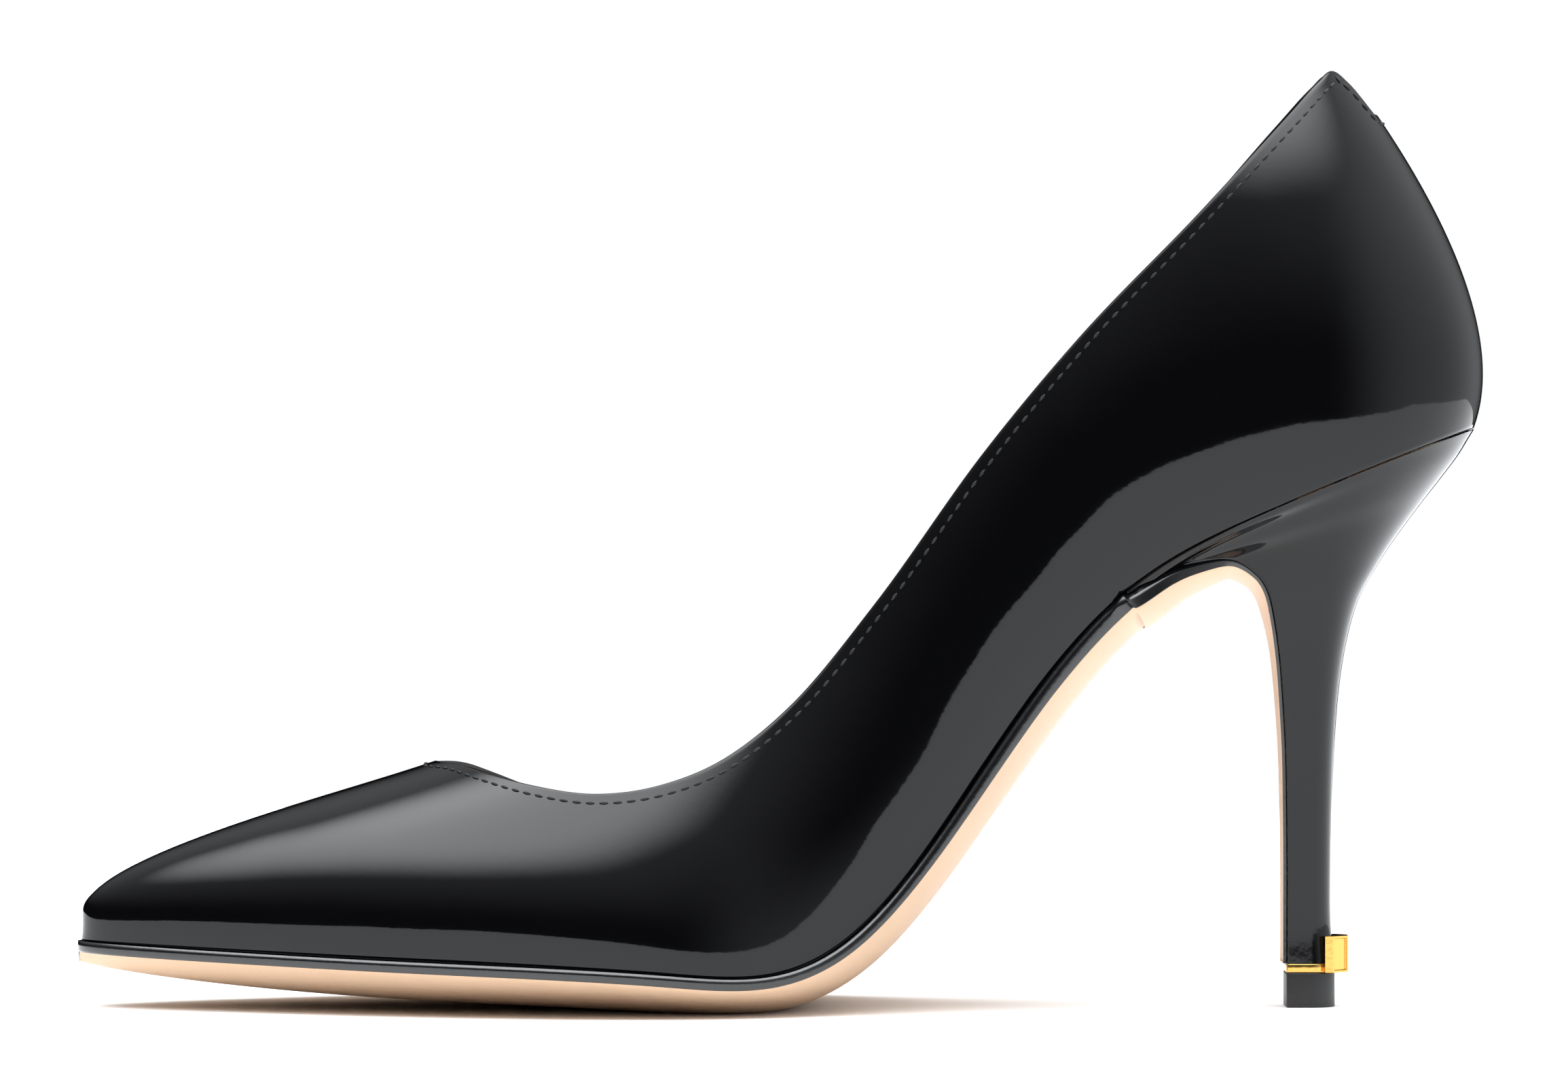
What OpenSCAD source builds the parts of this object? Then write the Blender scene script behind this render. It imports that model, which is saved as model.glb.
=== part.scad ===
// Pointed-toe stiletto pump for the right foot, as separate pieces.
// Origin: centre of the heel tip's face on the floor. The toe points along -X,
// the inner side of the foot is -Y, and +Z is up. All sizes are in millimetres.

/* [Last] */
// Length of the last, from toe tip to heel back
last_length = 237; // [200:1:270]
// Width of the upper at the ball of the foot, along the lasting edge
ball_width = 75; // [64:0.5:90]
// Width of the upper at the waist, along the lasting edge
waist_width = 41; // [33:0.5:50]
// Width of the heel seat, along the lasting edge
seat_width = 47; // [40:0.5:58]
// Height of the back of the heel seat above the floor
seat_height = 98; // [80:0.5:120]
// How much lower the topline runs on the outer side than on the inner side
outer_drop = 3; // [0:0.25:4]

/* [Upper] */
// Thickness of the patent leather
upper_t = 1.1; // [0.8:0.05:1.4]
// Thickness of the lining leather
lining_t = 0.8; // [0.6:0.05:1.1]
// Room for cement and tape between upper and lining
lining_gap = 0.4; // [0.35:0.05:0.6]
// Thickness of the toe puff and of the heel counter
stiffener_t = 1; // [0.6:0.05:1.4]
// Depth of the lasting margin turned under the insole
margin_w = 10; // [7:0.5:11]
// Distance from the folded edge down to the row of stitches
stitch_inset = 1.6; // [1.2:0.1:2.5]
// Diameter of the sewing thread
thread_d = 0.45; // [0.3:0.05:0.6]
// Width of the reinforcing tape along the topline
tape_w = 4; // [3:0.5:5]
// Thickness of the suede heel grip
grip_t = 0.7; // [0.5:0.05:1]

/* [Bottom] */
// Thickness of the insole board
insole_t = 2.2; // [1.6:0.1:2.6]
// Thickness of the sock lining
sock_t = 0.8; // [0.6:0.1:1.2]
// Thickness of the foam pads under the sock
pad_t = 1.6; // [1:0.1:2.2]
// Thickness of the outsole at its painted edge
edge_t = 1.9; // [1.5:0.1:2.4]
// Thickness of the outsole in the middle
outsole_t = 3; // [2.4:0.1:3.6]
// How much thicker the outsole is at the waist than at the ball
waist_extra = 0.7; // [0:0.1:1]
// Width of the steel shank
shank_w = 10; // [8:0.5:11]
// Thickness of the steel shank
shank_t = 1.2; // [1:0.1:1.3]
// Diameter of the shank rivets
rivet_d = 3; // [2.5:0.25:3.5]

/* [Heel] */
// Length of the heel tip from breast to back
tip_l = 8.5; // [7.5:0.1:10]
// Width of the heel tip
tip_w = 8.6; // [7.5:0.1:10]
// Height of the heel tip
tip_h = 5.9; // [4:0.1:7]
// Height of the metal band
band_h = 1.6; // [1:0.1:2.4]
// Thickness of the leather cover of the heel
cover_t = 0.8; // [0.6:0.05:1]
// Outer diameter of the steel tube in the heel
tube_d = 4.4; // [4:0.1:4.8]
// Bore of the steel tube
tube_bore = 2.8; // [2.4:0.1:3]
// Length of the steel tube
tube_l = 62; // [50:1:66]
// Length of the heel tip's pin inside the tube
pin_l = 14; // [10:0.5:18]
// Diameter of the heel screw
screw_d = 3.5; // [3:0.25:4]
// Length of the heel screw's shank
screw_l = 19; // [14:0.5:21]
// Diameter of the heel nails
nail_d = 1.6; // [1.4:0.1:2]
// Length of the heel nails
nail_l = 13; // [10:0.5:15]

/* [Ornament] */
// Height of the ornament
plaque_h = 6.2; // [5:0.1:8]
// How far the ornament stands out behind the band
plaque_out = 2.2; // [1.6:0.1:3]
// Diameter of the pins that hold the ornament
plaque_pin_d = 1; // [0.8:0.1:1.2]

/* [Clearances] */
// Gap between cemented layers
layer_gap = 0.05; // [0.03:0.01:0.1]
// Gap of cement between the curved plates of the bottom
cement_gap = 0.2; // [0.15:0.01:0.3]
// Radial clearance of a pin or screw in its hole
hole_gap = 0.05; // [0.02:0.01:0.1]

/* [Hidden] */

// ---- draft of the last -------------------------------------------------------------------------
// The tables are drafted for one size and graded to the sizes above. Each has one row a station,
// from the toe tip to the middle of the heel back, and a smooth curve is drawn through the rows.
draft_length = 237;
draft_ball = 75;
draft_waist = 41;
draft_seat = 47;
draft_height = 98;
ball_z = 8;

// Lasting edge: x, z, half width on the inner side, half width on the outer side
EDGE = [
    [-210.4, 11.5, 0, 0], [-206.4, 11.3, 5.8, 6.4], [-195, 10.9, 12.8, 15], [-177, 10.3, 21, 24.4],
    [-155, 9.6, 30, 33.2], [-130, 8.9, 36.4, 39], [-109, 7.8, 37.6, 38.6], [-92, 5.8, 33, 34.5],
    [-78, 11.6, 26.4, 28.5], [-64, 28.8, 22, 24.2], [-48, 54.4, 19.6, 21.6], [-31, 74, 20.2, 21.2],
    [-10, 83.8, 23.4, 23.8], [11, 92.6, 24.6, 24.8], [25, 97.6, 14.6, 14.6], [29.2, 98.8, 0, 0]
];
// Crest of the last: vamp ridge as far as the throat, then the instep: x, z
CREST = [
    [-207.6, 18.8], [-204.6, 21.9], [-194.5, 27], [-177, 33.2], [-156, 39.4], [-139, 45],
    [-125, 52.5], [-113, 62.5], [-101, 75], [-88, 91], [-72, 110], [-54, 130], [-36, 149],
    [-20, 163], [-8, 171], [-3, 173]
];
// Side wall: how far it bellies out on the inner side, on the outer side, and how high up (share)
BELLY = [
    [0.8, 0.8, 0.62], [1, 1, 0.6], [1.8, 1.8, 0.58], [2.4, 2.4, 0.56], [2.8, 2.8, 0.54],
    [2.8, 2.8, 0.5], [3, 3.5, 0.46], [5, 5.5, 0.42], [8.5, 8, 0.38], [11, 10, 0.36],
    [11.5, 10.5, 0.35], [10, 9.6, 0.34], [8, 8, 0.33], [8, 8, 0.31], [13.5, 13.5, 0.28],
    [18, 18, 0.27]
];
// Reach of the rounded crown to the inner side and to the outer side of the crest
CROWN = [
    [4, 4], [5.5, 5.8], [9.5, 10.5], [14.5, 15.5], [19, 20], [21, 22], [20, 21], [18, 20],
    [17, 19], [16, 18], [16, 18], [16, 17], [17, 17], [19, 19], [25, 25], [29, 29]
];
// Direction in which the crown runs down at the heel back: x, z
BACK_DIR = [0.66, -0.75];
// Topline seen from the inner side: x, z
TOPLINE = [
    [-149, 41.6], [-145, 41.5], [-140.5, 40.4], [-132, 38.3], [-121, 36.9], [-110, 38.3],
    [-99, 42.8], [-88, 51.6], [-74, 68.5], [-56, 93.5], [-40, 112.8], [-20, 133.6], [-4, 150.9],
    [1.5, 156.8], [3.6, 158.6], [6, 157], [10.8, 151.4]
];
// Sag of the last's bottom under a straight line across it, by station
SAG = [0.3, 1.2, 2.6, 4, 4.9, 5.2, 5.2, 4.6, 3.6, 3, 3, 3.4, 2.6, 2, 1, 0.3];

STATIONS = len(EDGE);
TURNS = 2 * (STATIONS - 1);

// ---- grading -----------------------------------------------------------------------------------
length_k = last_length / draft_length;
lift = seat_height - draft_height;
function width_k(i) = i < 9 ? ball_width / draft_ball
    : i < 12 ? waist_width / draft_waist
    : seat_width / draft_seat;
function lift_share(i) = max(0, (EDGE[i][1] - ball_z) / (draft_height - ball_z));

// Control values once round the shoe: toe, outer side, heel back, inner side
function round_list(outer, inner, sign = 1) = concat(
    outer, [for (i = [STATIONS - 2:-1:1]) sign * inner[i]]
);
function column(table, k) = [for (row = table) row[k]];
function mirrored(table, k) = round_list(column(table, k), column(table, k));
EDGE_X = mirrored(EDGE, 0);
EDGE_Z = mirrored(EDGE, 1);
EDGE_Y = round_list(column(EDGE, 3), column(EDGE, 2), -1);
CREST_X = mirrored(CREST, 0);
CREST_Z = mirrored(CREST, 1);
BELLY_OUT = round_list(column(BELLY, 1), column(BELLY, 0));
BELLY_UP = mirrored(BELLY, 2);
CROWN_OUT = round_list(column(CROWN, 1), column(CROWN, 0));
SAG_ALL = round_list(SAG, SAG);
WIDTH_K = let (k = [for (i = [0:STATIONS - 1]) width_k(i)]) round_list(k, k);
LIFT_K = let (k = [for (i = [0:STATIONS - 1]) lift_share(i)]) round_list(k, k);

// ---- small maths -------------------------------------------------------------------------------
function unit(v) = v / norm(v);
function clamp01(x) = min(1, max(0, x));
function smooth(a, b, x) = let (t = clamp01((x - a) / (b - a))) t * t * (3 - 2 * t);
function wrap(i) = ((i % TURNS) + TURNS) % TURNS;
// Periodic cubic B-spline of list c at u, which runs 0..1 once round the shoe
function spline(c, u) = let (
    t = (u - floor(u)) * TURNS, i = floor(t), f = t - i
) ((1 - f) ^ 3 * c[wrap(i - 1)] + (3 * f ^ 3 - 6 * f * f + 4) * c[wrap(i)]
    + (-3 * f ^ 3 + 3 * f * f + 3 * f + 1) * c[wrap(i + 1)] + f ^ 3 * c[wrap(i + 2)]) / 6;
// Smooth curve z(x) through the points of list p
function through(p, x) = let (
    n = len(p) - 1,
    i = max([for (k = [0:n - 1]) if (k == 0 || p[k][0] <= x) k]),
    h = p[i + 1][0] - p[i][0], t = (x - p[i][0]) / h,
    a = knot_slope(p, i, n), b = knot_slope(p, i + 1, n)
) (2 * t ^ 3 - 3 * t * t + 1) * p[i][1] + (t ^ 3 - 2 * t * t + t) * h * a
    + (-2 * t ^ 3 + 3 * t * t) * p[i + 1][1] + (t ^ 3 - t * t) * h * b;
function chord(p, i) = (p[i + 1][1] - p[i][1]) / (p[i + 1][0] - p[i][0]);
function knot_slope(p, i, n) = i == 0 ? chord(p, 0) : i == n ? chord(p, n - 1)
    : let (h0 = p[i][0] - p[i - 1][0], h1 = p[i + 1][0] - p[i][0])
        (chord(p, i - 1) * h1 + chord(p, i) * h0) / (h0 + h1);

// ---- surface of the last -----------------------------------------------------------------------
// u runs 0..1 round the shoe: 0 is the toe, below 0.5 the outer side, 0.5 the heel back, above it
// the inner side. along(u) is 0 at the toe and 1 at the heel back.
step_u = 0.0015;
function along(u) = 1 - abs(2 * (u - floor(u)) - 1);
function edge_draft(u) = [spline(EDGE_X, u), spline(EDGE_Y, u), spline(EDGE_Z, u)];
function crest_draft(u) = [spline(CREST_X, u), 0, spline(CREST_Z, u)];
// Outward direction of the lasting edge, seen from above
function outward(u) = let (
    a = edge_draft(u + step_u), b = edge_draft(u - step_u), t = unit([a[0] - b[0], a[1] - b[1]])
) [-t[1], t[0]];
function crest_dir(s) = let (
    m = max(s, 0.02) / 2, a = crest_draft(m + step_u), b = crest_draft(m - step_u)
) unit([a[0] - b[0], a[2] - b[2]]);
// The four control points of a rib, which climbs from the lasting edge to the crest
function rib_draft(u) = let (
    s = along(u), f = edge_draft(u), g = crest_draft(u), n = outward(u), k = smooth(0.4, 0.8, s),
    e = unit((1 - k) * crest_dir(s) + k * BACK_DIR), c = spline(CROWN_OUT, u),
    b = spline(BELLY_OUT, u), up = spline(BELLY_UP, u)
) [
    f,
    f + up * [g[0] - f[0], 0, g[2] - f[2]] + b * [n[0], n[1], 0],
    g + c * [n[0] * e[0], n[1], n[0] * e[1]],
    g
];
function graded(p, u) = [
    p[0] * length_k, p[1] * spline(WIDTH_K, u), p[2] + lift * spline(LIFT_K, u)
];
function rib(u) = let (r = rib_draft(u)) [for (p = r) graded(p, u)];
function on_rib(r, w) = (1 - w) ^ 3 * r[0] + 3 * w * (1 - w) ^ 2 * r[1]
    + 3 * w * w * (1 - w) * r[2] + w ^ 3 * r[3];

// Share of the rib at which the topline crosses it; 1 as far as the throat
top_first = TOPLINE[0];
top_last = TOPLINE[len(TOPLINE) - 1];
function topline_z(x, u) = through(TOPLINE, x) - (along(u) == 1 || u > 0.5 ? 0 : outer_drop
    * smooth(top_first[0] - 1, top_first[0] + 22, x) * (1 - smooth(-40, 0, x)));
function is_above(p, u) = p[0] > top_first[0]
    && (p[0] < top_last[0] ? p[2] > topline_z(p[0], u) : p[2] > top_last[1]);
function cross_topline(r, u, lo, hi, n) = n == 0 ? (lo + hi) / 2
    : let (m = (lo + hi) / 2) is_above(on_rib(r, m), u)
        ? cross_topline(r, u, lo, m, n - 1) : cross_topline(r, u, m, hi, n - 1);
function top_share(u) = let (r = rib_draft(u))
    r[3][0] <= top_first[0] ? 1 : cross_topline(r, u, 0.02, 1, 22);
// Station of the throat: the crest is there at the topline's first point
function throat_search(lo, hi, n) = n == 0 ? lo
    : let (m = (lo + hi) / 2) crest_draft(m / 2)[0] > top_first[0]
        ? throat_search(lo, m, n - 1) : throat_search(m, hi, n - 1);
throat_s = throat_search(0, 0.6, 30);

// Columns of the wall, from the toe (s = 0) to the heel back (s = 1) on one side
vamp_cols = 16;
quarter_cols = 26;
// Rows of points up a wall, as shares of the way from the lasting edge to the topline
ROWS = [0, 0.08, 0.22, 0.36, 0.5, 0.64, 0.77, 0.89, 1];
wall_rows = len(ROWS) - 1;
function station(i) = i <= vamp_cols ? throat_s * i / vamp_cols
    : throat_s + (1 - throat_s) * (1 - cos(180 * (i - vamp_cols) / quarter_cols)) / 2;
last_col = vamp_cols + quarter_cols;
function side_u(i, side) = side > 0 ? station(i) / 2 : 1 - station(i) / 2;
// One column: share of the topline, its rib, the ribs beside it, and its u
function make_column(u, share) = [share, rib(u), rib(u - step_u), rib(u + step_u), u];
function side_column(i, side) = let (u = side_u(i, side))
    make_column(u, i <= vamp_cols ? 1 : top_share(u));
OUTER = [for (i = [0:last_col]) side_column(i, 1)];
INNER = [for (i = [0:last_col]) i == 0 || i == last_col ? OUTER[i] : side_column(i, -1)];
function columns(side) = side > 0 ? OUTER : INNER;
function column_at(i, side) = i == floor(i) ? columns(side)[i] : side_column(i, side);

// Outward normal of the wall; it stays in the middle plane on the crest, toe and heel back
function wall_normal(c, w) = let (
    d = 0.004, wa = min(w, 1 - d),
    du = on_rib(c[3], wa) - on_rib(c[2], wa), dw = on_rib(c[1], wa + d) - on_rib(c[1], wa - d),
    n = unit(cross(dw, du)), mid = along(c[4]) == 0 || along(c[4]) == 1 || w == 1
) mid ? unit([n[0], 0, n[2]]) : n;
function wall_point(c, w, depth) = on_rib(c[1], w) - depth * wall_normal(c, w);

// ---- bottom of the last ------------------------------------------------------------------------
// s is the station, across runs -1 (inner edge) to 1 (outer edge), and height is measured square
// to the bottom, upwards from the plane between the lasting margin and the outsole.
function edge_at(u) = graded(edge_draft(u), u);
function half_width(s, side) = abs(edge_at(side > 0 ? s / 2 : 1 - s / 2)[1]);
function bottom_up(s) = let (
    m = min(0.985, max(s, 0.015)) / 2, a = edge_at(m + step_u), b = edge_at(m - step_u),
    t = unit([a[0] - b[0], a[2] - b[2]])
) [-t[1], t[0]];
sag_power = 2.6;
function bottom_point(s, y, height) = let (
    e = edge_at(s / 2), n = bottom_up(s), w = max(0.01, half_width(s, y)),
    h = height - spline(SAG_ALL, s / 2) * (1 - min(1, abs(y) / w) ^ sag_power)
) [e[0] + n[0] * h, y, e[2] + n[1] * h];
function station_of(x, lo = 0, hi = 1, n = 20) = n == 0 ? (lo + hi) / 2
    : let (m = (lo + hi) / 2) edge_at(m / 2)[0] > x
        ? station_of(x, lo, m, n - 1) : station_of(x, m, hi, n - 1);
// A point on the bottom, turned in from the lasting edge by some distance
function turned_in(u, inset, height) = let (
    e = edge_at(u), n = outward(u), x = e[0] - n[0] * inset, y = e[1] - n[1] * inset,
    s = station_of(x)
) bottom_point(s, y, height);

// ---- building solids from rings of points ------------------------------------------------------
// Faces between rings that each have n points
function ring_faces(n, from, to, closed = true) = [
    for (k = [from:to - 1], j = [0:n - (closed ? 1 : 2)])
        [k * n + j, k * n + (j + 1) % n, (k + 1) * n + (j + 1) % n, (k + 1) * n + j]
];
function flat(list) = [for (part = list) each part];
function moved(faces, by) = [for (f = faces) [for (k = f) k + by]];
function turned(faces) = [for (f = faces) reversed(f)];
function reversed(list) = [for (k = [len(list) - 1:-1:0]) list[k]];
function tail(list) = [for (k = [1:len(list) - 1]) list[k]];
// A ring runs along one face of a layer and back along the other. Its end is closed by the cells
// between the two.
function end_cells(n) = [for (k = [0:n / 2 - 2]) [k, n - 1 - k, n - 2 - k, k + 1]];
// Rings joined into a strip that is closed at both ends
function strip_faces(n, m) = concat(
    end_cells(n), ring_faces(n, 0, m - 1), moved(turned(end_cells(n)), (m - 1) * n)
);
module skin(rings) polyhedron(
    flat(rings), strip_faces(len(rings[0]), len(rings)), convexity = 10
);

// ---- wall sections -----------------------------------------------------------------------------
// A layer is [depth of its outer face, thickness, foot height, foot share, is it behind the
// stiffeners]. Its section is an L whose foot lies under the insole. The foot's length is a share
// of the lasting margin. All layers use the same columns, rows and foot points, so their facets
// run parallel.
puff_s = 0.2;
counter_s = 0.7;
counter_row = 5;
function puff_at(s, part) = smooth(puff_s, puff_s - 0.06, s);
function counter_at(s, part) = smooth(counter_s, counter_s + 0.06, s)
    * smooth(ROWS[counter_row], ROWS[counter_row - 1], part);
function stiff_at(s, part) = stiffener_t * max(puff_at(s, part), counter_at(s, part));
// Depth of a face of a layer: base depth, plus the stiffener's thickness where it lies outside
function depth_at(c, part, base, behind) = base + (behind ? stiff_at(along(c[4]), part) : 0);
// Part of the plan width of the bottom limits how far anything can be turned in
function most_inset(u) = let (
    s = min(0.99, max(0.01, along(u))), v = u > 0.5 ? 1 - s / 2 : s / 2
) 0.72 * half_width(s, u > 0.5 ? -1 : 1) / abs(outward(v)[1]);
function wall_row(c, crest, j, base, behind) = let (d = depth_at(c, ROWS[j], base, behind))
    c[0] == 1 && j == wall_rows ? wall_point(crest, 1, d) : wall_point(c, c[0] * ROWS[j], d);
foot_cells = 3;
// Points of one face from the foot's end up to the topline
function face_line(i, side, layer, inner) = let (
    c = column_at(i, side), crest = i <= vamp_cols ? OUTER[i] : c,
    base = layer[0] + (inner ? layer[1] : 0), h = layer[2] + (inner ? layer[1] : 0),
    bend = depth_at(c, 0, base, layer[4]), most = max(bend + 0.3, most_inset(c[4]))
) concat(
    [for (k = [foot_cells:-1:1]) let (reach = max(bend + 0.1 * k, margin_w * k / foot_cells))
        if (k <= foot_cells * layer[3]) turned_in(c[4], min(reach, most - 0.1 * (foot_cells - k)), h)],
    [turned_in(c[4], bend, h)],
    [for (j = [0:wall_rows]) wall_row(c, crest, j, base, layer[4])]
);
// Section of one side wall
function wall_ring(i, side, layer) = concat(
    face_line(i, side, layer, false), reversed(face_line(i, side, layer, true))
);
// Section of the vamp, from foot to foot over the crest
function arch_ring(i, layer) = concat(
    face_line(i, -1, layer, false), tail(reversed(face_line(i, 1, layer, false))),
    face_line(i, 1, layer, true), tail(reversed(face_line(i, -1, layer, true)))
);
function both_walls(first, ring) = concat(
    [for (i = [first:last_col]) ring(i, -1)], [for (i = [last_col - 1:-1:first]) ring(i, 1)]
);
function quarter_rings(layer, first) = both_walls(first, function(i, side) wall_ring(i, side, layer));
// A strip of wall without a foot, between two rows; inner and outer are depths at a row
function strip_ring(i, side, from, to, outer, inner) = let (
    c = column_at(i, side), crest = i <= vamp_cols ? OUTER[i] : c
) concat(
    [for (j = [from:to]) wall_row(c, crest, j, outer(c, j), false)],
    [for (j = [to:-1:from]) wall_row(c, crest, j, inner(c, j), false)]
);

// Upper: arch from the toe tip to the throat, then the side walls, as one closed surface
upper_layer = [0, upper_t, 0, 1, false];
module upper() color([0.03, 0.03, 0.035]) {
    arch = [for (i = [0:vamp_cols]) arch_ring(i, upper_layer)];
    walls = quarter_rings(upper_layer, vamp_cols);
    na = len(arch[0]);
    nw = len(walls[0]);
    offset_w = len(arch) * na;
    wall_faces = moved(ring_faces(nw, 0, len(walls) - 1), offset_w);
    polyhedron(
        concat(flat(arch), flat(walls)),
        concat(ring_faces(na, 0, vamp_cols), wall_faces), convexity = 10
    );
}

// Linings lie against the upper, with the stiffeners between them
lining_depth = upper_t + lining_gap;
lining_layer = [lining_depth + layer_gap, lining_t, upper_t + layer_gap, 0.7, true];
side_seam = vamp_cols + 9;
seam_gap = 0.02;
toe_trim = 3;
tan_leather = [0.72, 0.55, 0.42];
// The vamp lining is an arch as far as the throat and a wall on each side after it
module vamp_lining() color(tan_leather) {
    arch = [for (i = [toe_trim:vamp_cols]) arch_ring(i, lining_layer)];
    cols = concat([for (i = [vamp_cols:side_seam - 1]) i], [side_seam - seam_gap]);
    na = len(arch[0]);
    nw = len(wall_ring(vamp_cols, 1, lining_layer));
    start_in = len(arch) * na;
    start_out = start_in + len(cols) * nw;
    wall = concat(ring_faces(nw, 0, len(cols) - 1), moved(turned(end_cells(nw)), start_out - start_in - nw));
    polyhedron(
        concat(
            flat(arch),
            flat([for (i = cols) wall_ring(i, -1, lining_layer)]),
            flat([for (i = cols) wall_ring(i, 1, lining_layer)])
        ),
        concat(
            end_cells(na), ring_faces(na, 0, len(arch) - 1),
            moved(wall, start_in), moved(turned(wall), start_out)
        ), convexity = 10
    );
}
module quarter_lining() color(tan_leather) skin(quarter_rings(lining_layer, side_seam));

// Suede grip on the quarter lining, round the heel back
grip_first = last_col - 12;
grip_depth = lining_depth + lining_t + 2 * layer_gap;
module heel_grip() color([0.66, 0.5, 0.38]) skin(both_walls(
    grip_first, function(i, side) strip_ring(
        i, side, 2, wall_rows - 1,
        function(c, j) grip_depth + stiff_at(along(c[4]), ROWS[j]),
        function(c, j) grip_depth + grip_t + stiff_at(along(c[4]), ROWS[j])
    )
));
// The stiffeners' edges are skived thin
stiff_depth = upper_t + layer_gap;
skived = function(c, j) stiff_depth + max(0.15, stiff_at(along(c[4]), ROWS[j]) - layer_gap);
module toe_puff() color([0.85, 0.83, 0.76]) skin([
    for (i = [2:10]) let (
        a = strip_ring(i, -1, 1, wall_rows, function(c, j) stiff_depth, skived),
        b = strip_ring(i, 1, 1, wall_rows, function(c, j) stiff_depth, skived),
        n = wall_rows
    ) concat(
        [for (k = [0:n - 1]) a[k]], reversed([for (k = [0:n - 2]) b[k]]),
        reversed([for (k = [n:2 * n - 1]) b[k]]), [for (k = [n + 1:2 * n - 1]) a[k]]
    )
]);
module heel_counter() color([0.85, 0.83, 0.76]) skin(both_walls(
    vamp_cols + 12,
    function(i, side) strip_ring(i, side, 1, counter_row, function(c, j) stiff_depth, skived)
));

// Place at a distance below the topline, on the facets of a wall at some depth
function below_top(c, distance, depth) = let (
    a = wall_row(c, c, wall_rows, depth, false), b = wall_row(c, c, wall_rows - 1, depth, false)
) between(a, b, distance / norm(b - a));
function between(a, b, share) = a + (b - a) * share;
tape_t = lining_gap - 3 * layer_gap;
tape_top = 0.8;
tape_foot = tape_top + tape_w;
module topline_tape() color("white") skin(both_walls(
    vamp_cols + 2, function(i, side) let (c = column_at(i, side), d = stiff_depth) [
        below_top(c, tape_foot, d), below_top(c, tape_top, d),
        below_top(c, tape_top, d + tape_t), below_top(c, tape_foot, d + tape_t)
    ]
));
module topline_thread() color([0.08, 0.08, 0.09]) skin(both_walls(
    vamp_cols + 1, function(i, side) let (c = column_at(i, side), r = thread_d / 2) [
        below_top(c, stitch_inset, -layer_gap), below_top(c, stitch_inset + r, -layer_gap - r),
        below_top(c, stitch_inset, -layer_gap - thread_d), below_top(c, stitch_inset - r, -layer_gap - r)
    ]
));

// ---- bottom pieces -----------------------------------------------------------------------------
// A point over the place x, y, at some height off the bottom
function sole_point(x, y, height) = let (
    s = station_of(x), p = bottom_point(s, y, height)
) [p[0] + x - edge_at(s / 2)[0], p[1], p[2]];
// Point on the outline of the bottom at a station, turned in by some distance
function corner(s, side, inset) = let (u = side > 0 ? s / 2 : 1 - s / 2, e = edge_at(u), n = outward(u))
    [e[0] - n[0] * inset, e[1] - n[1] * inset];
function spread(a, b, n) = [for (k = [0:n]) a + (b - a) * k / n];
function cross_line(a, b, height, n) = [
    for (t = spread(0, 1, n)) let (p = a + (b - a) * t, h = height(2 * t - 1)) sole_point(p[0], p[1], h)
];
// A plate across the bottom between stations, turned in from the lasting edge
module plate(s_list, inset, low, high, n = 8) skin([
    for (s = s_list) let (a = corner(s, -1, inset(s)), b = corner(s, 1, inset(s))) concat(
        cross_line(b, a, function(t) low(s), n), cross_line(a, b, function(t) high(s), n)
    )
]);
wall_all = upper_t + lining_gap + lining_t + 2 * layer_gap;
function inside_wall(slack) = function(s) wall_all + stiff_at(s, 0) + slack;
function level(h) = function(s) h;
insole_low = upper_t + lining_t + layer_gap + cement_gap;
insole_high = insole_low + insole_t;
// Foam pads: how thick the pad under the sock is at a station
ball_s = 0.42;
heel_s = 0.86;
pad_reach = 0.1;
function pad_at(s) = pad_t * (smooth(1.2 * pad_reach, 0, abs(s - ball_s))
    + smooth(1.2 * pad_reach, 0, abs(s - heel_s)));
pad_low = insole_high + cement_gap + layer_gap;
sock_low = pad_low + cement_gap;
shank_high = insole_low - cement_gap;
shank_low = shank_high - shank_t;

// ---- fasteners of the heel seat ----------------------------------------------------------------
// Where the screw and the rows of nails stand, as drafted, and how far the nails stand out from
// the middle line, as a share of the seat's half width
screw_x = -4;
nail_xs = [-6, 5];
nail_side = 0.34;
screw_s = station_of(screw_x * length_k);
nail_places = [
    for (x = nail_xs, y = [-nail_side, nail_side]) [station_of(x * length_k), y * seat_width / 2]
];
screw_head_d = 2 * screw_d;
screw_head_h = 1.6;
washer_t = 0.4;
nail_head_d = 2.2 * nail_d;
nail_head_h = 0.5;
rivet_head_d = 1.8 * rivet_d;
rivet_head_h = 0.5;
rivet_stations = [0.56, 0.72];
rivet_slack = 0.15;
head_recess = 0.15;
// Frame square to the bottom at a place [s, y]: Z runs up, away from the outsole
function tilt_at(s) = atan2(bottom_up(s)[0], bottom_up(s)[1]);
module square_to(place, height, tilt) translate(bottom_point(place[0], place[1], height))
    rotate([0, tilt, 0]) children();
module on_seat(place) square_to(place, insole_high - head_recess, tilt_at(screw_s)) children();
module screw_place() on_seat([screw_s, 0]) children();
module nail_place() for (place = nail_places) on_seat(place) children();
module rivet_place() for (s = rivet_stations) square_to([s, 0], 0, tilt_at(s)) children();

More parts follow.
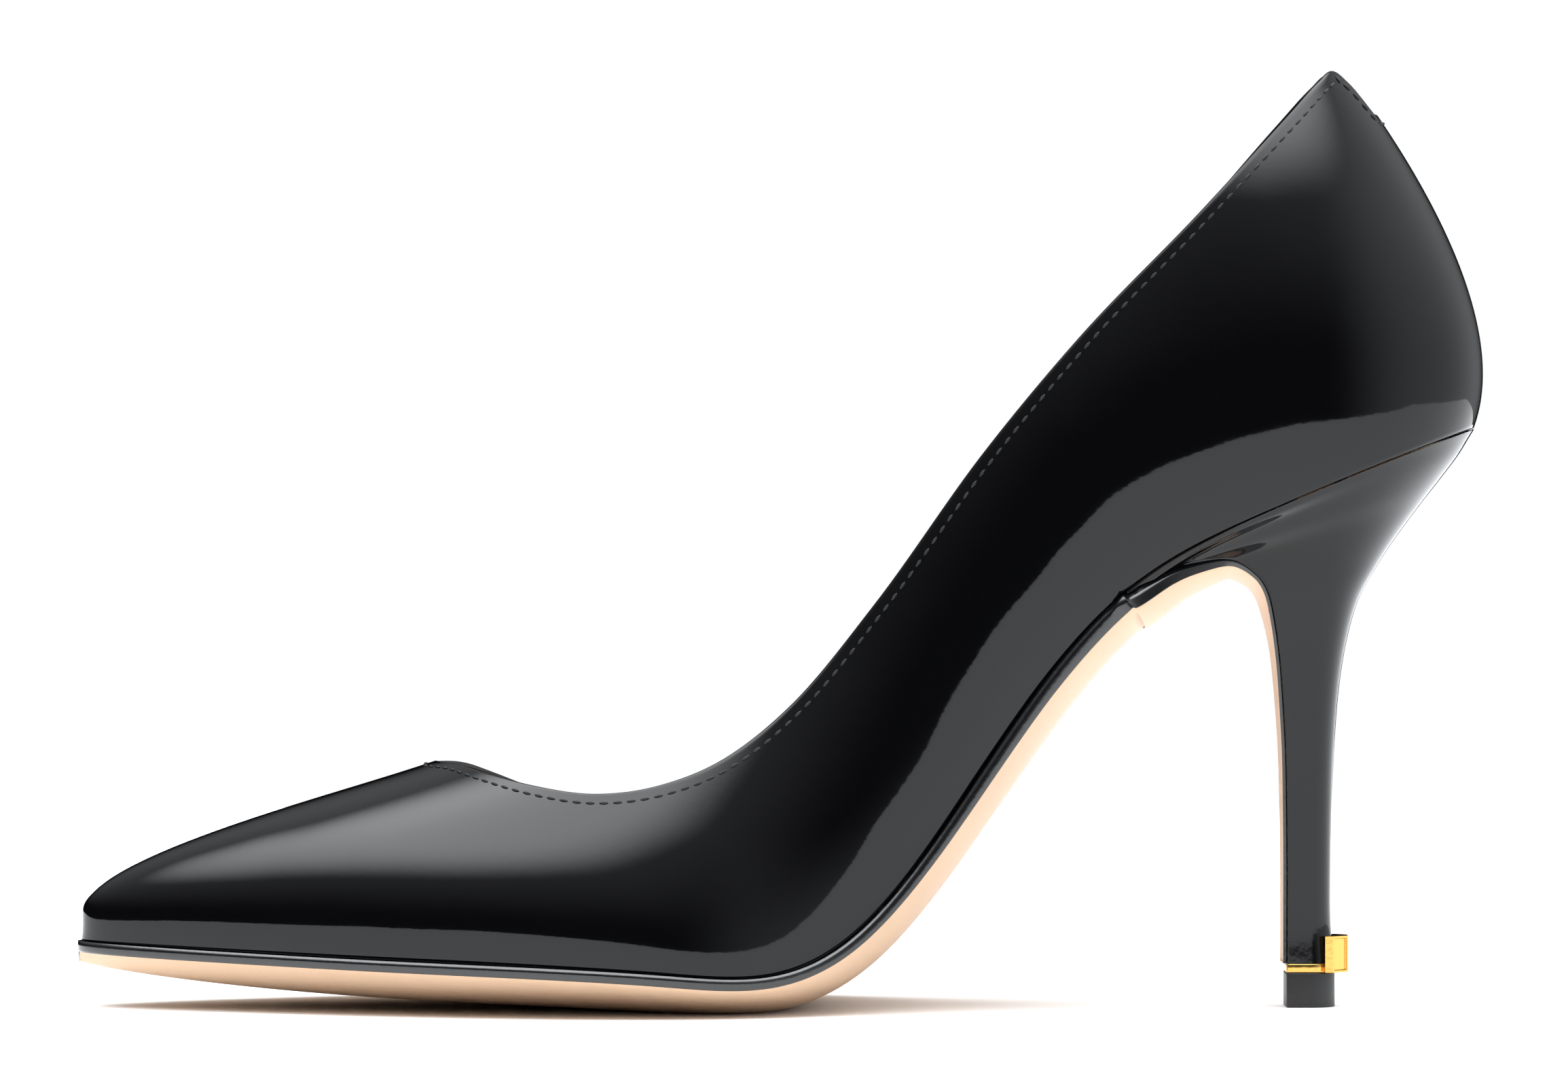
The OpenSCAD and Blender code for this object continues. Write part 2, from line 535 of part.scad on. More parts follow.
module heel_screw() color("silver") screw_place() rotate_extrude($fn = 32) polygon([
    [0, -screw_l], [screw_d / 2, 2 * screw_d - screw_l], [screw_d / 2, -screw_head_h],
    [screw_head_d / 2, 0], [0, 0]
]);
module screw_washer() color("silver") screw_place() rotate_extrude($fn = 32) polygon([
    for (p = [[0, -screw_head_h], [washer_t, -screw_head_h], [washer_t, 0], [0, 0]])
        [p[0] + hole_gap + (p[1] == 0 ? screw_head_d : screw_d) / 2, p[1]]
]);
module heel_nails() color("silver") nail_place() {
    translate([0, 0, -nail_l]) cylinder(h = nail_l, d = nail_d, $fn = 20);
    translate([0, 0, -nail_head_h]) cylinder(h = nail_head_h, d = nail_head_d, $fn = 24);
}
module shank_rivets() color("silver") rivet_place() {
    bottom = shank_low - rivet_slack - rivet_head_h;
    top = insole_high - head_recess;
    translate([0, 0, bottom]) cylinder(h = top - bottom, d = rivet_d, $fn = 24);
    translate([0, 0, bottom]) cylinder(h = rivet_head_h, d = rivet_head_d, $fn = 24);
    translate([0, 0, top - rivet_head_h]) cylinder(h = rivet_head_h, d = rivet_head_d, $fn = 24);
}
// What the fasteners need cut out of a plate or of the heel core
open_up = 4;
module rivet_holes() rivet_place() {
    cylinder(h = insole_high + open_up, d = rivet_d + 2 * hole_gap, $fn = 24);
    translate([0, 0, insole_high - head_recess - rivet_head_h - layer_gap])
        cylinder(h = open_up, d = rivet_head_d + 2 * hole_gap, $fn = 24);
}
module nail_holes() nail_place() {
    translate([0, 0, -nail_l - layer_gap])
        cylinder(h = nail_l + open_up, d = nail_d + 2 * hole_gap, $fn = 20);
    translate([0, 0, -nail_head_h - layer_gap])
        cylinder(h = open_up, d = nail_head_d + 2 * hole_gap, $fn = 24);
}
module screw_holes() screw_place() {
    side = 2 * (washer_t + 2 * hole_gap);
    translate([0, 0, -screw_l - layer_gap])
        cylinder(h = screw_l + open_up, d = screw_d + 2 * hole_gap, $fn = 32);
    translate([0, 0, -screw_head_h - layer_gap])
        cylinder(h = screw_head_h + layer_gap, d1 = screw_d + side, d2 = screw_head_d + side, $fn = 32);
    cylinder(h = open_up, d = screw_head_d + side, $fn = 32);
}

// The board is thinner at its bend behind the ball
bend_s = 0.5;
bend_relief = 0.35;
back_s = 0.995;
module insole_board() color([0.62, 0.5, 0.36]) difference() {
    low = function(s) insole_low + bend_relief * smooth(0.14, 0, abs(s - bend_s));
    plate(spread(0.085, back_s, 34), inside_wall(1.1), low, level(insole_high));
    rivet_holes();
    nail_holes();
    screw_holes();
}
shank_front_s = 0.52;
shank_back_x = -9;
module steel_shank() color("silver") difference() {
    last_s = station_of(shank_back_x * length_k);
    plate(
        spread(shank_front_s, last_s, 16), function(s) min(half_width(s, 1), half_width(s, -1)) - shank_w / 2,
        level(shank_low), level(shank_high), 4
    );
    rivet_holes();
}
module bottom_filler() color([0.55, 0.42, 0.3]) plate(
    spread(0.2, 0.49, 12), inside_wall(margin_w + 0.6), level(0), level(shank_high)
);
module foam_pad(middle) color([0.9, 0.88, 0.8]) plate(
    spread(middle - pad_reach, middle + pad_reach, 12), inside_wall(3), level(pad_low),
    function(s) pad_low + pad_at(s)
);
module ball_cushion() foam_pad(ball_s);
module heel_pad() foam_pad(heel_s);
module sock_lining() color([0.8, 0.64, 0.5]) plate(
    spread(0.1, back_s, 34), inside_wall(1.2),
    function(s) sock_low + pad_at(s), function(s) sock_low + pad_at(s) + sock_t
);

// ---- heel --------------------------------------------------------------------------------------
// Levels of the heel from the breast line on the seat (first row) down to the band (last row), as
// shares between the shaft and the seat: breast x, back x, half width, breast z, back z.
HEEL = [
    [1, 1, 1, 1, 1], [0.93, 0.967, 0.953, 1.01, 0.985], [0.723, 0.886, 0.86, 1.064, 0.949],
    [0.533, 0.767, 0.746, 1.088, 0.906], [0.35, 0.616, 0.6, 1.094, 0.854],
    [0.211, 0.453, 0.456, 1.058, 0.795], [0.128, 0.318, 0.332, 1.006, 0.74],
    [0.08, 0.192, 0.228, 0.917, 0.678], [0.048, 0.11, 0.15, 0.814, 0.601],
    [0.028, 0.057, 0.098, 0.704, 0.513], [0.01, 0.024, 0.057, 0.565, 0.402],
    [0.003, 0.008, 0.031, 0.41, 0.292], [0, 0, 0.01, 0.254, 0.182], [0, 0, 0, 0.115, 0.083],
    [0, 0.024, 0.005, 0, 0]
];
HEEL_LAST = len(HEEL) - 1;
heel_levels = 20;
// Where the heel's breast meets the bottom, as drafted
breast_x = -33;
seat_s = station_of(breast_x * length_k);
seat_front = edge_at(seat_s / 2);
seat_back = edge_at(0.5);
seat_half = max([for (s = spread(seat_s, 1, 20), side = [-1, 1]) half_width(s, side)]);
foot_z = tip_h + band_h;
shaft_front = -tip_l / 2 + 0.2;
shaft_back = tip_l / 2 - 0.7;
shaft_half = tip_w / 2 - 0.1;
// Smooth run through column k of the heel table at t, which runs 0 to HEEL_LAST
function heel_row(i) = HEEL[max(0, min(HEEL_LAST, i))];
function heel_value(k, t) = let (
    i = min(HEEL_LAST - 1, floor(t)), f = t - i,
    a = heel_row(i - 1)[k], b = heel_row(i)[k], c = heel_row(i + 1)[k], d = heel_row(i + 2)[k]
) b + f * (c - a) / 2 + f * f * (2 * a - 5 * b + 4 * c - d) / 2 + f ^ 3 * (3 * b - a - 3 * c + d) / 2;
function breast_at(t) = [
    between(shaft_front, seat_front[0], heel_value(0, t)),
    between(foot_z, seat_front[2], heel_value(3, t))
];
function back_at(t) = [
    between(shaft_back, seat_back[0], heel_value(1, t)),
    between(foot_z, seat_back[2], heel_value(4, t))
];
function half_at(t) = between(shaft_half, seat_half, heel_value(2, t));
// Outline of the seat and of the shaft at q: -1 inner breast corner, 0 back, 1 outer breast corner
function seat_shape(q) = let (
    s = 1 - (1 - seat_s) * abs(q), e = edge_at(q < 0 ? 1 - s / 2 : s / 2), n = bottom_up(s)
) e - cement_gap * [n[0], 0, n[1]];
side_share = 0.38;
function shaft_shape(q) = abs(q) > 1 - side_share
    ? [0.5 * (1 - abs(q)) / side_share, sign(q)]
    : let (a = 90 * q / (1 - side_share)) [0.5 + 0.5 * cos(a), sin(a)];
function heel_point(t, q) = let (
    e = seat_shape(q), f = breast_at(t), b = back_at(t), d = shaft_shape(q), k = smooth(0, 7, t),
    xs = (e[0] - seat_front[0]) / (seat_back[0] - seat_front[0]),
    line = between(seat_front[2], seat_back[2], xs), bulge = (e[2] - line) * smooth(4, 0, t),
    ks = between(xs, d[0], k)
) t == 0 ? e : [
    between(f[0], b[0], ks), half_at(t) * between(e[1] / seat_half, d[1], k),
    between(f[1], b[1], ks) + bulge
];
// Breast of the heel: across runs -1 to 1, depth is measured outwards, towards the toe
function breast_normal(t) = let (
    a = breast_at(max(0, t - 0.3)), b = breast_at(min(HEEL_LAST, t + 0.3)), d = unit(b - a),
    k = smooth(0, 1.5, t), n = unit((1 - k) * -bottom_up(seat_s) + k * [d[1], -d[0]])
) n;
function breast_point(t, across, depth, trim = 0) = let (
    f = t == 0 ? [for (k = [0, 2]) seat_front[k]] : breast_at(t), n = breast_normal(t),
    q = across < 0 ? -1 : 1, p = heel_point(t, q), h = abs(p[1]) - trim,
    sag = spline(SAG_ALL, seat_s / 2) * smooth(9, 1, t) * (1 - abs(across) ^ sag_power),
    base = t == 0 ? cement_gap : 0
) [p[0] + n[0] * (depth + sag), across * h, p[2] + n[1] * (depth + sag)];

heel_sides = 14;
breast_cells = 6;
qs = spread(-1, 1, 2 * heel_sides);
// A level's outline, set in by some distance along the sides and back
function outline(t, inset) = [
    for (q = qs) let (
        p = heel_point(t, q), a = heel_point(t, min(1, q + 0.02)), b = heel_point(t, max(-1, q - 0.02)),
        d = unit([a[0] - b[0], a[1] - b[1]]), near = abs(q) == 1 ? [0, sign(q)] : [d[1], -d[0]]
    ) t == 0 && inset > 0 ? sole_point(p[0] - near[0] * inset, p[1] - near[1] * inset, -cement_gap)
        : [p[0] - near[0] * inset, p[1] - near[1] * inset, p[2]]
];
ts = spread(0, HEEL_LAST, heel_levels);
core_inset = cover_t + layer_gap;
function core_ring(t) = concat(
    outline(t, core_inset),
    [for (k = [1:breast_cells - 1]) breast_point(t, 1 - 2 * k / breast_cells, 0, core_inset)]
);
// Lines across the top of the core, which lies against the shoe's bottom
function core_top() = let (ring = outline(0, core_inset)) [
    for (i = [1:heel_sides - 1]) let (a = ring[i], b = ring[2 * heel_sides - i])
        [for (k = [1:breast_cells - 1]) let (x = between(a, b, k / breast_cells))
            sole_point(x[0], x[1], -cement_gap)]
];
module core_body() {
    n = 2 * heel_sides + breast_cells;
    rings = [for (t = ts) core_ring(t)];
    m = len(rings);
    tops = core_top();
    base = m * n;
    // Index of point k on line i of the top; line 0 is the breast, the last is the back point
    function top_id(i, k) = k == 0 ? i : k == breast_cells ? 2 * heel_sides - i
        : i == 0 ? n - k : base + (i - 1) * (breast_cells - 1) + k - 1;
    last_line = heel_sides - 1;
    foot_centre = [(shaft_front + shaft_back) / 2, 0, foot_z];
    foot_id = base + (heel_sides - 1) * (breast_cells - 1);
    polyhedron(concat(flat(rings), flat(tops), [foot_centre]), concat(
        [for (i = [0:last_line - 1], k = [0:breast_cells - 1])
            [top_id(i, k), top_id(i, k + 1), top_id(i + 1, k + 1), top_id(i + 1, k)]],
        [for (k = [0:breast_cells - 1]) [top_id(last_line, k), top_id(last_line, k + 1), heel_sides]],
        ring_faces(n, 0, m - 1),
        [for (k = [0:n - 1]) [(m - 1) * n + k, (m - 1) * n + (k + 1) % n, foot_id]]
    ), convexity = 10);
}
tube_foot = tip_h + layer_gap;
module d_shape(l, w, r = 0.6) offset(r = r, $fn = 24) offset(delta = -r) intersection() {
    translate([-l / 2, -w / 2]) square([l, w]);
    union() {
        translate([-l / 2, -w / 2]) square([l - w / 2, w]);
        translate([(l - w) / 2, 0]) circle(d = w, $fn = 64);
    }
}
neck_wall = 0.9;
module neck() translate([0, 0, tube_foot])
    linear_extrude(foot_z + 0.4 - tube_foot) d_shape(tip_l - 2 * neck_wall, tip_w - 2 * neck_wall, 0.5);
module tube_hole() translate([0, 0, tube_foot - 1])
    cylinder(h = tube_l + 1 + 2 * layer_gap, d = tube_d + 2 * hole_gap, $fn = 40);
module heel_core() color([0.85, 0.8, 0.7]) difference() {
    union() {
        core_body();
        neck();
    }
    tube_hole();
    screw_holes();
    nail_holes();
    pin_place() cylinder(h = pin_reach, d = plaque_pin_d + 2 * hole_gap, $fn = 16);
}
function cover_ring(t) = concat(outline(t, 0), reversed(outline(t, cover_t)));
module heel_cover() color([0.03, 0.03, 0.035]) difference() {
    skin([for (t = ts) cover_ring(t)]);
    pin_place() cylinder(h = pin_reach, d = plaque_pin_d + 2 * hole_gap, $fn = 16);
}
module heel_tube() color("silver") translate([0, 0, tube_foot]) difference() {
    cylinder(h = tube_l, d = tube_d, $fn = 40);
    translate([0, 0, -1]) cylinder(h = tube_l + 2, d = tube_bore, $fn = 32);
}
// The tip's pin is moulded into the tip by a flange and pressed into the tube
pin_foot = 1.6;
flange_h = 1;
flange_d = tube_d;
module tip_pin_shape(grow) {
    translate([0, 0, pin_foot - grow])
        cylinder(h = flange_h + 2 * grow, d = flange_d + 2 * grow, $fn = 32);
    translate([0, 0, pin_foot]) cylinder(
        h = tip_h - pin_foot + pin_l, d = tube_bore - 2 * hole_gap + 2 * grow, $fn = 32
    );
}
module heel_tip_pin() color("silver") tip_pin_shape(0);
module heel_tip() color([0.06, 0.06, 0.06]) difference() {
    linear_extrude(tip_h) d_shape(tip_l, tip_w);
    tip_pin_shape(hole_gap);
}
module heel_band() color([0.85, 0.65, 0.25]) translate([0, 0, tip_h + layer_gap]) difference() {
    linear_extrude(band_h - 2 * layer_gap) d_shape(tip_l - 0.2, tip_w - 0.1);
    translate([0, 0, -1]) linear_extrude(band_h + 2)
        offset(delta = layer_gap) d_shape(tip_l - 2 * neck_wall, tip_w - 2 * neck_wall, 0.5);
}

// ---- ornament on the heel's back ---------------------------------------------------------------
plaque_z = tip_h + layer_gap;
plaque_side = tip_w / 2 + 0.35;
plaque_front = tip_l / 2 - 2;
plaque_shoulder = tip_l / 2 - 0.7;
plaque_back = tip_l / 2 + plaque_out;
plaque_slope = 2.8;
pin_start = 2.4;
pin_reach = plaque_back - 1 - pin_start;
pin_heights = [0.55, 0.85];
module pin_place() for (z = pin_heights)
    translate([pin_start, 0, plaque_z + z * plaque_h]) rotate([0, 90, 0]) children();
module plaque_pins() color([0.85, 0.65, 0.25]) pin_place()
    cylinder(h = pin_reach, d = plaque_pin_d, $fn = 16);
module heel_plaque() color([0.85, 0.65, 0.25]) difference() {
    translate([0, 0, plaque_z]) linear_extrude(plaque_h) polygon([
        [plaque_front, -plaque_side], [plaque_shoulder, -plaque_side],
        [plaque_back, -plaque_side + plaque_slope], [plaque_back, plaque_side - plaque_slope],
        [plaque_shoulder, plaque_side], [plaque_front, plaque_side]
    ]);
    translate([0, 0, plaque_z - 1])
        linear_extrude(plaque_h + 2) offset(delta = layer_gap) d_shape(tip_l, tip_w - 0.1);
    pin_place() cylinder(h = pin_reach + layer_gap, d = plaque_pin_d + 2 * hole_gap, $fn = 16);
}

// ---- outsole -----------------------------------------------------------------------------------
// The sole stands a little beyond the upper and runs on down the heel's breast as a flap
welt = 0.6;
edge_cells = 12;
function sole_thick(across, s) = between(outsole_t, edge_t, abs(across) ^ 4)
    + waist_extra * smooth(0.55, 0.7, s);
function sole_ring(s) = let (
    out = -welt * smooth(seat_s, seat_s - 0.1, s), a = corner(s, -1, out), b = corner(s, 1, out)
) concat(
    cross_line(b, a, function(t) -cement_gap - sole_thick(t, s), edge_cells),
    cross_line(a, b, function(t) -cement_gap, edge_cells)
);
flap_t = 0.7;
flap_trim = 0.4;
function flap_thick(t, across) = between(flap_t, sole_thick(across, seat_s), smooth(5.5, 0.5, t));
function flap_ring(t) = let (cs = spread(-1, 1, edge_cells)) concat(
    [for (c = reversed(cs)) breast_point(t, c, layer_gap + flap_thick(t, c), flap_trim * smooth(0, 3, t))],
    [for (c = cs) breast_point(t, c, layer_gap, flap_trim * smooth(0, 3, t))]
);
toe_stations = [0.004, 0.012, 0.025];
worn_off = 20;
module outsole() color([0.76, 0.66, 0.55]) difference() {
    skin(concat(
        [for (s = concat(toe_stations, spread(0.045, seat_s - 0.012, 36))) sole_ring(s)],
        [for (t = tail(ts)) flap_ring(t)]
    ));
    // The ball is worn flat where it stands on the floor
    translate([-1.5 * last_length, -ball_width, -worn_off])
        cube([2 * last_length, 2 * ball_width, worn_off]);
}

upper();
topline_thread();
vamp_lining();
quarter_lining();
heel_grip();
toe_puff();
heel_counter();
topline_tape();
insole_board();
steel_shank();
shank_rivets();
bottom_filler();
ball_cushion();
heel_pad();
sock_lining();
outsole();
heel_core();
heel_cover();
heel_tube();
heel_tip();
heel_tip_pin();
heel_screw();
screw_washer();
heel_nails();
heel_band();
heel_plaque();
plaque_pins();
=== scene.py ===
"""Pointed stiletto pump for the right foot: glossy patent upper, wrapped slim heel, thin leather
sole and a small gilt ornament. The toe points along -X and the inner side is -Y."""
import math

import bmesh
import bpy
import numpy as np
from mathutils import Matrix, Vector
from mathutils.bvhtree import BVHTree


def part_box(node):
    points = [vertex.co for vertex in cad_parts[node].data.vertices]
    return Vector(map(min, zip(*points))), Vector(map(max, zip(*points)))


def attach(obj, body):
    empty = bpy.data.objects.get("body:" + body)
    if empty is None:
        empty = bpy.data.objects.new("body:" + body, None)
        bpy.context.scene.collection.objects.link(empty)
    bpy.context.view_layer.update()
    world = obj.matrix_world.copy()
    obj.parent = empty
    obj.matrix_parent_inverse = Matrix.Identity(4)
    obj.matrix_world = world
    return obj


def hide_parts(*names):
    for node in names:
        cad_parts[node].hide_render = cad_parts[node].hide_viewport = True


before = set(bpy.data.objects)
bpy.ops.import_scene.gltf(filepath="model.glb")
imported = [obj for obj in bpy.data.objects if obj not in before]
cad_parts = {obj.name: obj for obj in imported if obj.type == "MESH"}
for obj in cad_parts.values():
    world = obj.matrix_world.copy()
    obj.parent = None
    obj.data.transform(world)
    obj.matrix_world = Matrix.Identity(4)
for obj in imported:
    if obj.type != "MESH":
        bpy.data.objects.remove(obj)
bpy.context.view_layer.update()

MM = 0.001
BODY = "root"

# ---- sizes, in millimetres ----------------------------------------------------------------------
FOLD = 0.58            # radius of the folded topline edge
HEM = (0.5, 1.1, 2, 3.5)  # steps of the folded hem down the inside
HEM_LEAN = 0.03        # the hem leans in by this times its depth squared
LASTED_IN = 0.6        # the upper's foot turns in by this, and sinks by LASTED_DROP
LASTED_DROP = 0.25
LINING_STEP = 0.8      # the lining's raw edge lies this far below the fold
LINING_IN = 2.0        # depth of the lining's inner face under the upper's outer face
STIFFENER = 1.0        # the heel counter pushes the lining in by this
STITCH_INSET = 1.6     # from the fold down to the seam
STITCH_PITCH = 2.3
STITCH_LENGTH = 1.55
STITCH_SUNK = 0.04     # the thread's middle lies this far under the leather's face
THREAD = 0.5
INSOLE_TOP = 4.35      # top of the insole board over the lasting edge
SOCK = 0.8             # the sock's leather
SOCK_GAP = 0.4         # cement and cloth under the sock
SOCK_INSET = 2.6       # from the lasting edge in to the sock's edge
PAD = 1.6              # foam pads under the sock
PAD_STATIONS = (0.42, 0.86)
PAD_REACH = 0.12
EDGE = 1.9             # the sole's painted edge
SOLE = 3.0             # the sole in the middle
WELT = 0.6             # the sole stands this far beyond the upper
WAIST_EXTRA = 0.7      # the sole is this much thicker at the waist
FLAP = 0.7             # the sole's flap down the heel's breast
FLAP_GAP = 0.05        # between the flap and the breast
FLAP_TRIM = 0.4        # the flap is this much narrower than the heel on each side
EDGE_ROUND = 0.35      # rounding of the sole's lower edge
EDGE_CROWN = 0.06      # the painted edge bulges by this share of its depth
CEMENT = 0.2
BREAST_X = -33.0       # where the heel's breast meets the seat
BAND_PROUD = 0.05      # the band stands this far beyond the tip
PLAQUE_ROOT = 1.35     # the ornament's straight sides, before they slant
PLAQUE_SLANT = 2.8     # and how far each slanted face runs in
PLAQUE_MARGIN = 0.55   # rim round each sunk panel
PANEL_STEP = 0.08      # width of the step down into a panel
PLAQUE_BEVEL = 0.09

# ---- draft of the last --------------------------------------------------------------------------
# One row a station from the toe tip to the middle of the heel back. The draft is the same as the
# frame's: a smooth closed curve runs through each column.
# Lasting edge: x, z, half width on the inner side, half width on the outer side
LASTING_EDGE = [
    (-210.4, 11.5, 0, 0), (-206.4, 11.3, 5.8, 6.4), (-195, 10.9, 12.8, 15), (-177, 10.3, 21, 24.4),
    (-155, 9.6, 30, 33.2), (-130, 8.9, 36.4, 39), (-109, 7.8, 37.6, 38.6), (-92, 5.8, 33, 34.5),
    (-78, 11.6, 26.4, 28.5), (-64, 28.8, 22, 24.2), (-48, 54.4, 19.6, 21.6), (-31, 74, 20.2, 21.2),
    (-10, 83.8, 23.4, 23.8), (11, 92.6, 24.6, 24.8), (25, 97.6, 14.6, 14.6), (29.2, 98.8, 0, 0),
]
# Crest of the last: x, z
CREST = [
    (-207.6, 18.8), (-204.6, 21.9), (-194.5, 27), (-177, 33.2), (-156, 39.4), (-139, 45),
    (-125, 52.5), (-113, 62.5), (-101, 75), (-88, 91), (-72, 110), (-54, 130), (-36, 149),
    (-20, 163), (-8, 171), (-3, 173),
]
# Belly of the side wall: inner side, outer side, share of the height
BELLY = [
    (0.8, 0.8, 0.62), (1, 1, 0.6), (1.8, 1.8, 0.58), (2.4, 2.4, 0.56), (2.8, 2.8, 0.54),
    (2.8, 2.8, 0.5), (3, 3.5, 0.46), (5, 5.5, 0.42), (8.5, 8, 0.38), (11, 10, 0.36),
    (11.5, 10.5, 0.35), (10, 9.6, 0.34), (8, 8, 0.33), (8, 8, 0.31), (13.5, 13.5, 0.28),
    (18, 18, 0.27),
]
# Reach of the rounded crown: inner side, outer side
CROWN = [
    (4, 4), (5.5, 5.8), (9.5, 10.5), (14.5, 15.5), (19, 20), (21, 22), (20, 21), (18, 20),
    (17, 19), (16, 18), (16, 18), (16, 17), (17, 17), (19, 19), (25, 25), (29, 29),
]
BACK_DIR = np.array([0.66, 0, -0.75])
TOPLINE = np.array([
    (-149, 41.6), (-145, 41.5), (-140.5, 40.4), (-132, 38.3), (-121, 36.9), (-110, 38.3),
    (-99, 42.8), (-88, 51.6), (-74, 68.5), (-56, 93.5), (-40, 112.8), (-20, 133.6), (-4, 150.9),
    (1.5, 156.8), (3.6, 158.6), (6, 157), (10.8, 151.4),
])
OUTER_DROP = 3
SAG = [0.3, 1.2, 2.6, 4, 4.9, 5.2, 5.2, 4.6, 3.6, 3, 3, 3.4, 2.6, 2, 1, 0.3]
SAG_POWER = 2.6
STEP_U = 0.0015
TURNS = 2 * (len(LASTING_EDGE) - 1)


# ---- the last's surface --------------------------------------------------------------------------
def round_table(outer, inner, sign=1):
    """Control values once round the shoe: toe, outer side, heel back, inner side."""
    return np.array(list(outer) + [sign * v for v in inner[-2:0:-1]], float)


def column(table, k):
    return [row[k] for row in table]


EDGE_TABLE = np.stack([
    round_table(column(LASTING_EDGE, 0), column(LASTING_EDGE, 0)),
    round_table(column(LASTING_EDGE, 3), column(LASTING_EDGE, 2), -1),
    round_table(column(LASTING_EDGE, 1), column(LASTING_EDGE, 1)),
], 1)
CREST_TABLE = np.stack([
    round_table(column(CREST, 0), column(CREST, 0)), np.zeros(TURNS),
    round_table(column(CREST, 1), column(CREST, 1)),
], 1)
WALL_TABLE = np.stack([
    round_table(column(BELLY, 1), column(BELLY, 0)), round_table(column(BELLY, 2), column(BELLY, 2)),
    round_table(column(CROWN, 1), column(CROWN, 0)), round_table(SAG, SAG),
], 1)


def smooth(a, b, x):
    t = np.clip((x - a) / (b - a), 0, 1)
    return t * t * (3 - 2 * t)


def unit(v):
    return v / np.maximum(np.linalg.norm(v, axis=-1, keepdims=True), 1e-12)


def spline(table, u):
    """Closed cubic B-spline of a table at u, which runs 0..1 once round the shoe."""
    t = (u - np.floor(u)) * TURNS
    i = np.floor(t).astype(int)
    f = (t - i)[..., None]
    a, b, c, d = (table[(i + k) % TURNS] for k in (-1, 0, 1, 2))
    return ((1 - f) ** 3 * a + (3 * f**3 - 6 * f * f + 4) * b
            + (-3 * f**3 + 3 * f * f + 3 * f + 1) * c + f**3 * d) / 6


def along(u):
    return 1 - np.abs(2 * (u - np.floor(u)) - 1)


def outward(u):
    """Outward direction of the lasting edge, seen from above."""
    d = spline(EDGE_TABLE, u + STEP_U) - spline(EDGE_TABLE, u - STEP_U)
    d = unit(d[..., :2])
    return np.stack([-d[..., 1], d[..., 0]], -1)


def ribs(u):
    """The four control points of each rib, from the lasting edge up to the crest."""
    u = np.asarray(u, float)
    s = along(u)
    foot, crest, n = spline(EDGE_TABLE, u), spline(CREST_TABLE, u), outward(u)
    belly, up, reach, _ = np.moveaxis(spline(WALL_TABLE, u), -1, 0)
    m = np.maximum(s, 0.02) / 2
    run = unit(spline(CREST_TABLE, m + STEP_U) - spline(CREST_TABLE, m - STEP_U))
    k = smooth(0.4, 0.8, s)[..., None]
    run = unit((1 - k) * run + k * BACK_DIR)
    rise = crest - foot
    rise[..., 1] = 0
    side = np.concatenate([n, np.zeros(n.shape[:-1] + (1,))], -1)
    low = foot + up[..., None] * rise + belly[..., None] * side
    crown = np.stack([n[..., 0] * run[..., 0], n[..., 1], n[..., 0] * run[..., 2]], -1)
    return np.stack([foot, low, crest + reach[..., None] * crown, crest], -2)


def on_rib(r, w):
    w = w[..., None]
    return ((1 - w) ** 3 * r[..., 0, :] + 3 * w * (1 - w) ** 2 * r[..., 1, :]
            + 3 * w * w * (1 - w) * r[..., 2, :] + w**3 * r[..., 3, :])


def topline_height(x, u):
    """Smooth curve through the topline's points, lower on the outer side."""
    px, pz = TOPLINE[:, 0], TOPLINE[:, 1]
    h, chord = np.diff(px), np.diff(pz) / np.diff(px)
    slope = np.concatenate([
        chord[:1], (chord[:-1] * h[1:] + chord[1:] * h[:-1]) / (h[1:] + h[:-1]), chord[-1:],
    ])
    i = np.clip(np.searchsorted(px, x, side="right") - 1, 0, len(h) - 1)
    t = (x - px[i]) / h[i]
    z = ((2 * t**3 - 3 * t * t + 1) * pz[i] + (t**3 - 2 * t * t + t) * h[i] * slope[i]
         + (-2 * t**3 + 3 * t * t) * pz[i + 1] + (t**3 - t * t) * h[i] * slope[i + 1])
    drop = OUTER_DROP * smooth(px[0] - 1, px[0] + 22, x) * (1 - smooth(-40, 0, x))
    return z - np.where(u < 0.5, drop, 0)


def is_above(p, u):
    x, z = p[..., 0], p[..., 2]
    last_x, last_z = TOPLINE[-1]
    return (x > TOPLINE[0, 0]) & np.where(x < last_x, z > topline_height(x, u), z > last_z)


def top_share(u):
    """Share of each rib at which the topline crosses it; 1 as far as the throat."""
    r = ribs(u)
    lo, hi = np.full(len(u), 0.02), np.ones(len(u))
    for _ in range(26):
        mid = (lo + hi) / 2
        above = is_above(on_rib(r, mid), u)
        hi, lo = np.where(above, mid, hi), np.where(above, lo, mid)
    return np.where(r[:, 3, 0] <= TOPLINE[0, 0], 1.0, (lo + hi) / 2)


def throat_station():
    lo, hi = 0.0, 0.6
    for _ in range(40):
        mid = (lo + hi) / 2
        if spline(CREST_TABLE, np.array([mid / 2]))[0, 0] > TOPLINE[0, 0]:
            hi = mid
        else:
            lo = mid
    return lo


THROAT = throat_station()


def wall(u, share):
    """Points and outward normals of the last's wall; share has a row for each u."""
    r, before, after = ribs(u), ribs(u - STEP_U), ribs(u + STEP_U)
    d = 0.004
    w = np.minimum(share, 1 - d)
    du = on_rib(after[:, None], w) - on_rib(before[:, None], w)
    dw = on_rib(r[:, None], w + d) - on_rib(r[:, None], w - d)
    n = unit(np.cross(dw, du))
    middle = (along(u)[:, None] < 1e-9) | (along(u)[:, None] > 1 - 1e-9) | (share > 1 - 1e-9)
    flat = n.copy()
    flat[..., 1] = 0
    return on_rib(r[:, None], share), np.where(middle[..., None], unit(flat), n)


